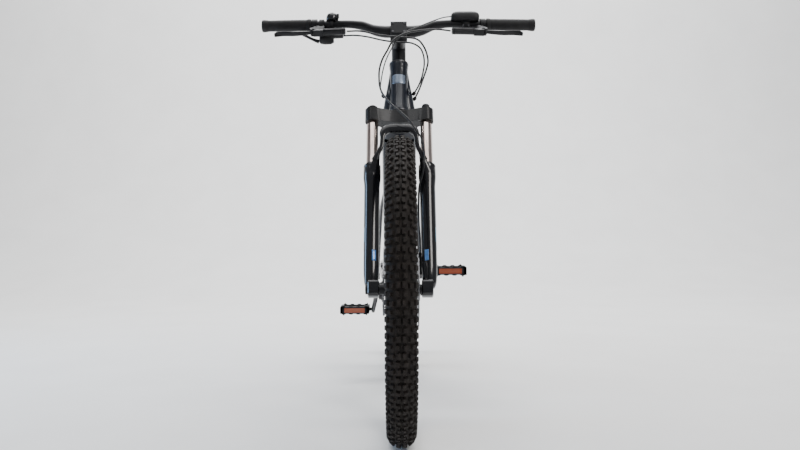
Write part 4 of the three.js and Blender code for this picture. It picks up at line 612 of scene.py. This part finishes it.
# seat clamp bolt and collar lip, cable ports' grommets, drive unit screws
sp = Pile(); sd = Vector((0, cos(math.radians(74)), sin(math.radians(74)))); st = Vector((0, 811.5, 722.4))
sp.put(*turned(st - sd * 13.5, st + sd * 0.2, [(0, 19.8), (0.6, 20.7), (12.6, 20.9), (13.6, 20.2), (13.7, 17.0)], 48), 0)
e = st - sd * 6.5 + Vector((0, 20.5, -1)); sp.put(*block(-8, 8, e.y - 3, e.y + 5, e.z - 5, e.z + 5), 0)
sp.put(*hex_bolt(e + Vector((8, 1, 0)), (1, 0, 0), 3.4, 2.2), 1)
trim(sp.make("seat_clamp", ["anod", "bolt"], smooth=math.radians(30), bevel=0.5), "frame")
gp = Pile()
for q in ((44, 293, 868), (42, 280, 880), (-44, 281, 873.5)):
    d = Vector((0.45 if q[0] > 0 else -0.45, -0.75, 0.5)).normalized(); gp.put(*turned(Vector(q) - d * 7, Vector(q) + d * 3, [(0, 4.6), (5, 5.2), (8, 5.0), (9.2, 4.0), (10, 3.2)], 20), 0)
trim(gp.make("port_grommets", "rubber", smooth=math.radians(40)), "frame")
cp = Pile()
for x in (-44.4, 50.4):
    for y, z in ((610, 300), (640, 245), (700, 240), (748, 300), (745, 380)):
        cp.put(*hex_bolt((x, y, z), (1 if x > 0 else -1, 0, 0), 3.6, 1.4), 0)
trim(cp.make("drive_unit_bolts", "bolt", smooth=math.radians(30)), "frame")
def cover(x0, x1):                               # a raised side cover on the drive unit
    out = [(604, 352), (606, 304), (622, 268), (654, 240), (698, 238), (734, 253), (750, 286), (753, 330), (748, 362), (728, 382), (690, 386), (660, 392), (630, 366)]
    sp2 = spline([(y, z, 0) for y, z in out], 5, closed=True); c2 = Vector((682, 315))
    loops = [[(x, c2.x + (q[0] - c2.x) * k, c2.y + (q[1] - c2.y) * k) for q in sp2] for x, k in ((x0, 1.0), ((x0 + x1) / 2, 0.995), (x1 - (x1 - x0) * 0.15, 0.97), (x1, 0.93))]
    return rings(loops)
cv = Pile(); cv.put(*cover(49.6, 53.4), 0); cv.put(*cover(-43.6, -46.6), 0)
trim(cv.make("drive_unit_covers", "gloss_black", smooth=math.radians(30)), "frame")

# ---------------------------------------------------------------- seat: post head, rails, padded saddle
refine("seat_post", "anod", 1.0, 34, 2)
rl = spline([(22, 978, 898), (22, 940, 884), (22, 900, 880.2), (22, 830, 880.2), (21, 800, 886), (12, 772, 898), (-12, 772, 898), (-21, 800, 886), (-22, 830, 880.2), (-22, 900, 880.2), (-22, 940, 884), (-22, 978, 898)], 6)
stands(mesh_obj("saddle_rail_loop", *tube(rl, 3.5, 16), "steel", smooth=math.radians(60)), "saddle_rails")
cl = Pile()
cl.put(*[x for x in rings([sup((0, 861, z), a, b, (1, 0, 0), (0, 1, 0), 40, 3) for z, a, b in ((884.6, 27.5, 12), (885.6, 29, 13.5), (889.6, 29, 13.5), (891.2, 27, 11.5))])], 0)
cl.put(*hex_bolt((0, 846, 893), (0, -0.35, 1), 3.4, 2.2), 1)
for sx in (-1, 1):                               # moulded sockets that take the rails' ends
    cl.put(*rings([sup((sx * 22, y, z), a, b, (1, 0, 0), (0, 0, 1), 24, 3) for y, z, a, b in ((960, 898, 5.2, 6.5), (964, 900.5, 6.4, 8.6), (984, 902.5, 6.6, 8.4), (988, 904, 5.4, 6.6))]), 0)
cl.put(*rings([sup((0, y, z), a, b, (1, 0, 0), (0, 0, 1), 28, 3) for y, z, a, b in ((763, 903, 14, 6), (766, 901.5, 17, 8), (780, 901.5, 17.5, 8), (784, 903, 15, 6.4))]), 0)
trim(cl.make("saddle_clamp", ["anod", "bolt"], smooth=math.radians(30), bevel=0.4), "seat")
sr = [(733, 8, 911, 924), (742, 15, 906, 931.5), (775, 20.5, 904.5, 937), (820, 27, 904, 938), (860, 42, 905, 938), (900, 60, 906, 939), (945, 70.5, 906, 943), (985, 68.5, 909, 945), (1000, 57, 914, 943.5), (1005, 44, 919, 940)]
def saddle():
    keys = spline(sr, 5, centri=1.0); n = 64; loops = []
    for q in keys:
        y, a, z0, z1 = q; l = []
        for k in range(n):
            t = 2 * pi * k / n; ct, st2 = cos(t), sin(t)
            x = a * math.copysign(abs(ct) ** (2 / 2.5), ct); zc, h = (z0 + z1) / 2, (z1 - z0) / 2
            z = zc + h * math.copysign(abs(st2) ** (2 / 2.3), st2)
            if st2 > 0:                          # centre relief channel and the two stitched panel lines beside it
                w = max(0.0, min(1, (y - 775) / 60)) * max(0.0, min(1, (1000 - y) / 30))
                z -= w * 4.2 * math.exp(-(x / 8.5) ** 2)
                wing = 0.30 * a + 9
                z -= 0.9 * w * math.exp(-((abs(x) - wing) / 1.6) ** 2)
                z += 1.1 * w * math.exp(-((abs(x) - wing - 7) / 6) ** 2)
            else: x *= 1 - 0.05 * abs(st2)
            l.append((x, y, z))
        loops.append(l)
    o = mesh_obj("saddle_pad", *rings(loops), "saddle", smooth=None, subsurf=1)
    stands(o, "saddle")
    pl = Pile()                                  # stitches along the panel lines, and the plastic bumper round the base
    for s in (-1, 1):
        prev = None
        for q in spline(sr[2:9], 24, centri=1.0):
            y, a, z0, z1 = q; x = s * (0.30 * a + 9)
            st3 = (1 - min(1, abs(x) / a) ** 2.5) ** (1 / 2.5) if abs(x) < a else 0; h = (z1 - z0) / 2
            z = (z0 + z1) / 2 + h * (max(0.0, st3)) ** (2.5 / 2.3)
            z = (z0 + z1) / 2 + h * max(0.0, 1 - (abs(x) / a) ** 2.5) ** (1 / 2.3) - 0.55
            pt = Vector((x, y, z))
            if prev is not None and (pt - prev).length > 3.4:
                d = (pt - prev).normalized(); pl.put(*rod(prev + d * 0.5, prev + d * 2.7, 0.42, 6, ch=0.15), 0); prev = pt
            elif prev is None: prev = pt
    trim(pl.make("saddle_stitches", "white" if False else "hose", smooth=math.radians(60)), "seat")
    base = [sup((0, q[0], q[2] + 1.6), q[1] * 0.985, 2.6, (1, 0, 0), (0, 0, 1), 40, 3.2) for q in spline(sr[1:-1], 4, centri=1.0)]
    trim(mesh_obj("saddle_shell", *rings(base), "plastic", smooth=math.radians(50)), "seat")
saddle()

# ---------------------------------------------------------------- drivetrain
def sprocket(cy, cz, teeth, x0, x1, holes, name=None, mat="dark_steel", node=None, tooth=4.6, body=None, ph=0.0):
    pr = 12.7 / (2 * sin(pi / teeth)); n = teeth * 8
    def prof(t):
        u = (t * teeth / (2 * pi) + ph) % 1.0; w = abs(u - 0.5) * 2   # 0 at a tooth's tip, 1 in the valley
        return pr - 3.9 + (tooth + 2.0) * max(0.0, 1 - (w / 0.72) ** 2.2) ** 0.8
    o = plate2d(name, [circ(cy, cz, 0, n, prof)] + holes, x0, x1, mat, None, 0.2)
    if node: stands(o, node)
    elif body: trim(o, body)
    return o
rh = []
for k in range(4):
    t = k * pi / 2 + 0.5; w = [(63, t + 0.28 + i * 0.13) for i in range(9)] + [(40, t + 0.42 + 0.74 - i * 0.123) for i in range(7)]
    rh.append([(693 + r * cos(a), 309 + r * sin(a)) for r, a in w])
rh.append(circ(693, 309, 12.4, 28))
sprocket(693, 309, 38, -53.6, -50.6, rh, "chainring_teeth", "dark_steel", "chainring", 4.6)
gd = Pile()                                      # ring bolts and the spider boss
gd.put(*turned((-66.8, 693, 309), (-53.0, 693, 309), [(0, 13), (0, 27.2), (0.8, 28), (5, 28), (9, 31), (13.6, 34), (13.8, 13)], 48), 0)
for k in range(4):
    t = k * pi / 2 + 0.5; gd.put(*turned((-56.5, 693 + 56 * cos(t), 309 + 56 * sin(t)), (-49.5, 693 + 56 * cos(t), 309 + 56 * sin(t)), [(0, 2.6), (0, 5.0), (1, 5.3), (5.6, 5.3), (6.8, 4.4), (6.8, 1.8)], 20), 1)
trim(gd.make("chainring_spider", ["anod", "bolt"], smooth=math.radians(30)), "cranks")
first = True
for T, xx in ((36, -36.5), (32, -40.6), (28, -44.6), (24, -47.9), (21, -52), (18, -56.6), (15, -60.6), (13, -64.6), (11, -68.6)):
    pr = 12.7 / (2 * sin(pi / T)); hs = [circ(1148, 365, 12.4, 28)]
    if T > 20:
        for k in range(7):
            t = 2 * pi * k / 7 + T; hs.append(circ(1148 + (pr - 15) * cos(t), 365 + (pr - 15) * sin(t), min(7, (pr - 22) * 0.32), 16))
    o = sprocket(1148, 365, T, xx - 0.85, xx + 0.85, hs, "sprocket_%d_teeth" % T, "steel", None, 4.2, None, 0.13 * T)
    if first: stands(o, "cassette"); first = False
    else: trim(o, "sprockets")
cs = Pile(); cs.put(*turned((-34.6, 1148, 365), (-70.6, 1148, 365), [(0, 12.3), (0, 17), (1, 17.4), (33, 17.2), (34, 16), (35.6, 15.4), (36, 14.6), (36, 12.4)], 48), 0)
trim(cs.make("cassette_carrier", "dark_steel", smooth=math.radians(30)), "sprockets")
PRT = lambda t: t * 12.7 / (2 * pi)
W2 = [(693, 309, PRT(38), 1), (1148, 365, PRT(21), 1), (1160, 277, PRT(11), -1), (1118, 215, PRT(11), 1)]
def belt(c):
    n, tan, out = len(c), [], []
    for i in range(n):
        ay, az, ar, as_ = c[i]; by, bz, br, bs = c[(i + 1) % n]; d = math.hypot(by - ay, bz - az); a = math.atan2(bz - az, by - ay)
        th = a - math.asin((as_ * ar - bs * br) / d); ny, nz = -sin(th), cos(th)
        tan.append(((ay + as_ * ar * ny, az + as_ * ar * nz), (by + bs * br * ny, bz + bs * br * nz)))
    for i in range(n):
        cy, cz, r, sg = c[i]; f0, t0 = tan[(i - 1) % n][1], tan[i][0]
        a0, a1 = math.atan2(f0[1] - cz, f0[0] - cy), math.atan2(t0[1] - cz, t0[0] - cy)
        if sg > 0:
            while a1 > a0: a1 -= 2 * pi
        else:
            while a1 < a0: a1 += 2 * pi
        k = max(2, math.ceil(abs(a1 - a0) / 0.05)); out += [(cy + r * cos(a0 + (a1 - a0) * j / k), cz + r * sin(a0 + (a1 - a0) * j / k)) for j in range(k + 1)]
    return out
bp = belt(W2); bp.append(bp[0]); L = [0.0]
for a, b in zip(bp, bp[1:]): L.append(L[-1] + math.dist(a, b))
NL = round(L[-1] / 12.7 / 2) * 2; pit = L[-1] / NL
def at(s):
    s %= L[-1]; i = max(0, min(len(L) - 2, int(np.searchsorted(L, s, "right")) - 1)); t = (s - L[i]) / max(L[i + 1] - L[i], 1e-9)
    return bp[i][0] + t * (bp[i + 1][0] - bp[i][0]), bp[i][1] + t * (bp[i + 1][1] - bp[i][1])
ch = Pile()
for k in range(NL):
    a, b = at(k * pit), at((k + 1) * pit); d = Vector((b[0] - a[0], b[1] - a[1])).normalized(); w = Vector((-d.y, d.x)); m2 = Vector(((a[0] + b[0]) / 2, (a[1] + b[1]) / 2)); out = []
    for j in range(20):                          # figure-of-eight side plate
        t = 2 * pi * j / 20; px = 6.35 * (1 if cos(t) > 0 else -1) + 3.75 * cos(t); pz = 3.75 * sin(t) * (0.78 + 0.22 * min(1, abs(cos(t)) * 1.6)); q = m2 + d * px + w * pz; out.append((q.x, q.y))
    for xo in ((1.75, 2.65) if k % 2 else (0.95, 1.75)):
        pass
    o1, o2 = (1.8, 2.65) if k % 2 else (1.0, 1.8)
    for s in (-1, 1): ch.put(*rings([[(-52 + s * o1, y, z) for y, z in out], [(-52 + s * o2, y, z) for y, z in out]]), 0)
    ch.put(*turned((-54.7, a[0], a[1]), (-49.3, a[0], a[1]), [(0, 1.4), (0.1, 1.9), (5.3, 1.9), (5.4, 1.4)], 10), 1)
    ch.put(*turned((-53.0, a[0], a[1]), (-51.0, a[0], a[1]), [(0, 3.6), (2.0, 3.6)], 12), 1)
stands(ch.make("chain_links", ["steel", "dark_steel"], smooth=math.radians(30)), "chain")
for nn, cy, cz, bd in (("guide", 1160, 277, "upper_pulley"), ("tension", 1118, 215, "lower_pulley")):
    hs = [circ(cy, cz, 3.3, 16)] + [circ(cy + 9.6 * cos(2 * pi * k / 5), cz + 9.6 * sin(2 * pi * k / 5), 2.7, 12) for k in range(5)]
    sprocket(cy, cz, 11, -53.4, -50.6, hs, nn + "_pulley_teeth", "plastic", nn + "_pulley", 4.0)
refine("derailleur_cage", "dark_steel", 0.4, 30, 2); refine("derailleur_body", "anod", 1.6, 34, 3)
dp = Pile(); dp.put(*hex_bolt((-73.8, 1160, 277), (-1, 0, 0), 6.0, 2.0), 0)
trim(dp.make("derailleur_pivot_bolt", "bolt", smooth=math.radians(30)), "derailleur")
dp = Pile(); dp.put(*hex_bolt((-91.8, 1165, 330), (-1, 0, 0), 5.6, 1.8), 0)
trim(dp.make("derailleur_hanger_bolt", "bolt", smooth=math.radians(30)), "frame")

# cranks, pedals
for n, s in (("left", 1), ("right", -1)):
    refine("crank_arm_" + n, "anod", 1.2, 36, 3)
    e = Vector((0, 693 - s * 170 * cos(0.446), 309 + s * 170 * sin(0.446)))
    t = Pile(); t.put(*hex_bolt((s * 82.3, 693, 309), (s, 0, 0), 8.2, 1.8), 0)
    trim(t.make("crank_bolt_" + n, "bolt", smooth=math.radians(30)), "cranks")
    y, z = e.y, e.z; X0, X1 = s * 103, s * 200.7; pl = Pile()
    def bar_y(yy0, yy1, zz, m=0, a=0.0):         # front and rear rails of the platform with a toothed top and bottom edge
        n2 = 44; up, lowr = [], []
        for k in range(n2 + 1):
            x = X0 + (X1 - X0) * k / n2; u = (k / n2 * 4) % 1.0; tooth = 3.6 * max(0.0, min(1, (0.5 - abs(u - 0.5)) * 6 - 0.9)); up.append((x, 10.6 + tooth))
        for (x, h), (x2, h2) in zip(up, up[1:]):
            pl.put([(x, yy0, z - h), (x2, yy0, z - h2), (x2, yy0, z + h2), (x, yy0, z + h), (x, yy1, z - h), (x2, yy1, z - h2), (x2, yy1, z + h2), (x, yy1, z + h)], [(0, 1, 2, 3), (7, 6, 5, 4), (0, 4, 5, 1), (3, 2, 6, 7), (0, 3, 7, 4), (1, 5, 6, 2)], m)
    for q in (-1, 1):
        a, b = sorted((y + q * 38.4, y + q * 46.4)); bar_y(a, b, z)
        yo, yi = y + q * 50.0, y + q * 46.4; lo, hi = min(yo, yi), max(yo, yi)
        for za, zb in ((-11.4, -8.2), (8.2, 11.4)): pl.put(*block(min(X0, X1) + 2, max(X0, X1) - 2, lo, hi, z + za, z + zb), 0)
        for xa, xb in ((X0, X0 + s * 13.6), (X1 - s * 13.6, X1)): pl.put(*block(min(xa, xb), max(xa, xb), lo, hi, z - 11.4, z + 11.4), 0)
        for xa in (X0 + s * 9, X1 - s * 11.5): pl.put(*turned((xa, y + q * 44, z - 17), (xa, y + q * 44, z + 17), [(0, 1.6), (0.6, 2.4), (3, 2.6), (6, 3.4), (28, 3.4), (31, 2.6), (33.4, 2.4), (34, 1.6)], 12), 1)
    for xa, xb in ((X0, X0 + s * 8.6), (X1 - s * 8.6, X1)):
        pl.put(*block(min(xa, xb), max(xa, xb), y - 50, y + 50, z - 10.8, z + 10.8), 0)
        for k in range(5): pl.put(*block(min(xa, xb) + 1.2, max(xa, xb) - 1.2, y - 33 + k * 14.5, y - 25 + k * 14.5, z - 13.2, z + 13.2), 0)
    pl.put(*turned((X0 - s * 0.0, y, z), (X1, y, z), [(0, 6.0), (0, 10.6), (1.4, 11.6), (16, 11.6), (22, 10.2), (78, 9.6), (84, 11), (96, 11), (97.4, 9.6), (97.6, 4)], 36), 0)
    for k in (-1, 1): pl.put(*rings([[(X0 + s * 40 + dx, y + k * yy, z + zz) for dx, zz in ((-3, -5), (3, -5), (3, 5), (-3, 5))] for yy in (6, 40)]), 0); pl.put(*rings([[(X0 + s * 62 + dx, y + k * yy, z + zz) for dx, zz in ((-3, -5), (3, -5), (3, 5), (-3, 5))] for yy in (6, 40)]), 0)
    stands(pl.make("platform_pedal_" + n, ["plastic", "bolt"], smooth=math.radians(30), bevel=0.0), "pedal_" + n)
    x0, x1 = sorted((X0 + s * 14.5, X1 - s * 14.5))
    for q, nm in ((-1, "front"), (1, "back")):
        ya, yb = sorted((y + q * 46.9, y + q * 50.3)); r = Pile(); r.put(*block(x0, x1, ya, yb, z - 7.6, z + 7.6), 0)
        o = r.make("reflector_%s_%s" % (n, nm), "reflector", smooth=math.radians(30), bevel=1.0, seg=3)
        if q < 0: stands(o, "pedal_reflector_" + n)
        else: trim(o, n + "_pedal")
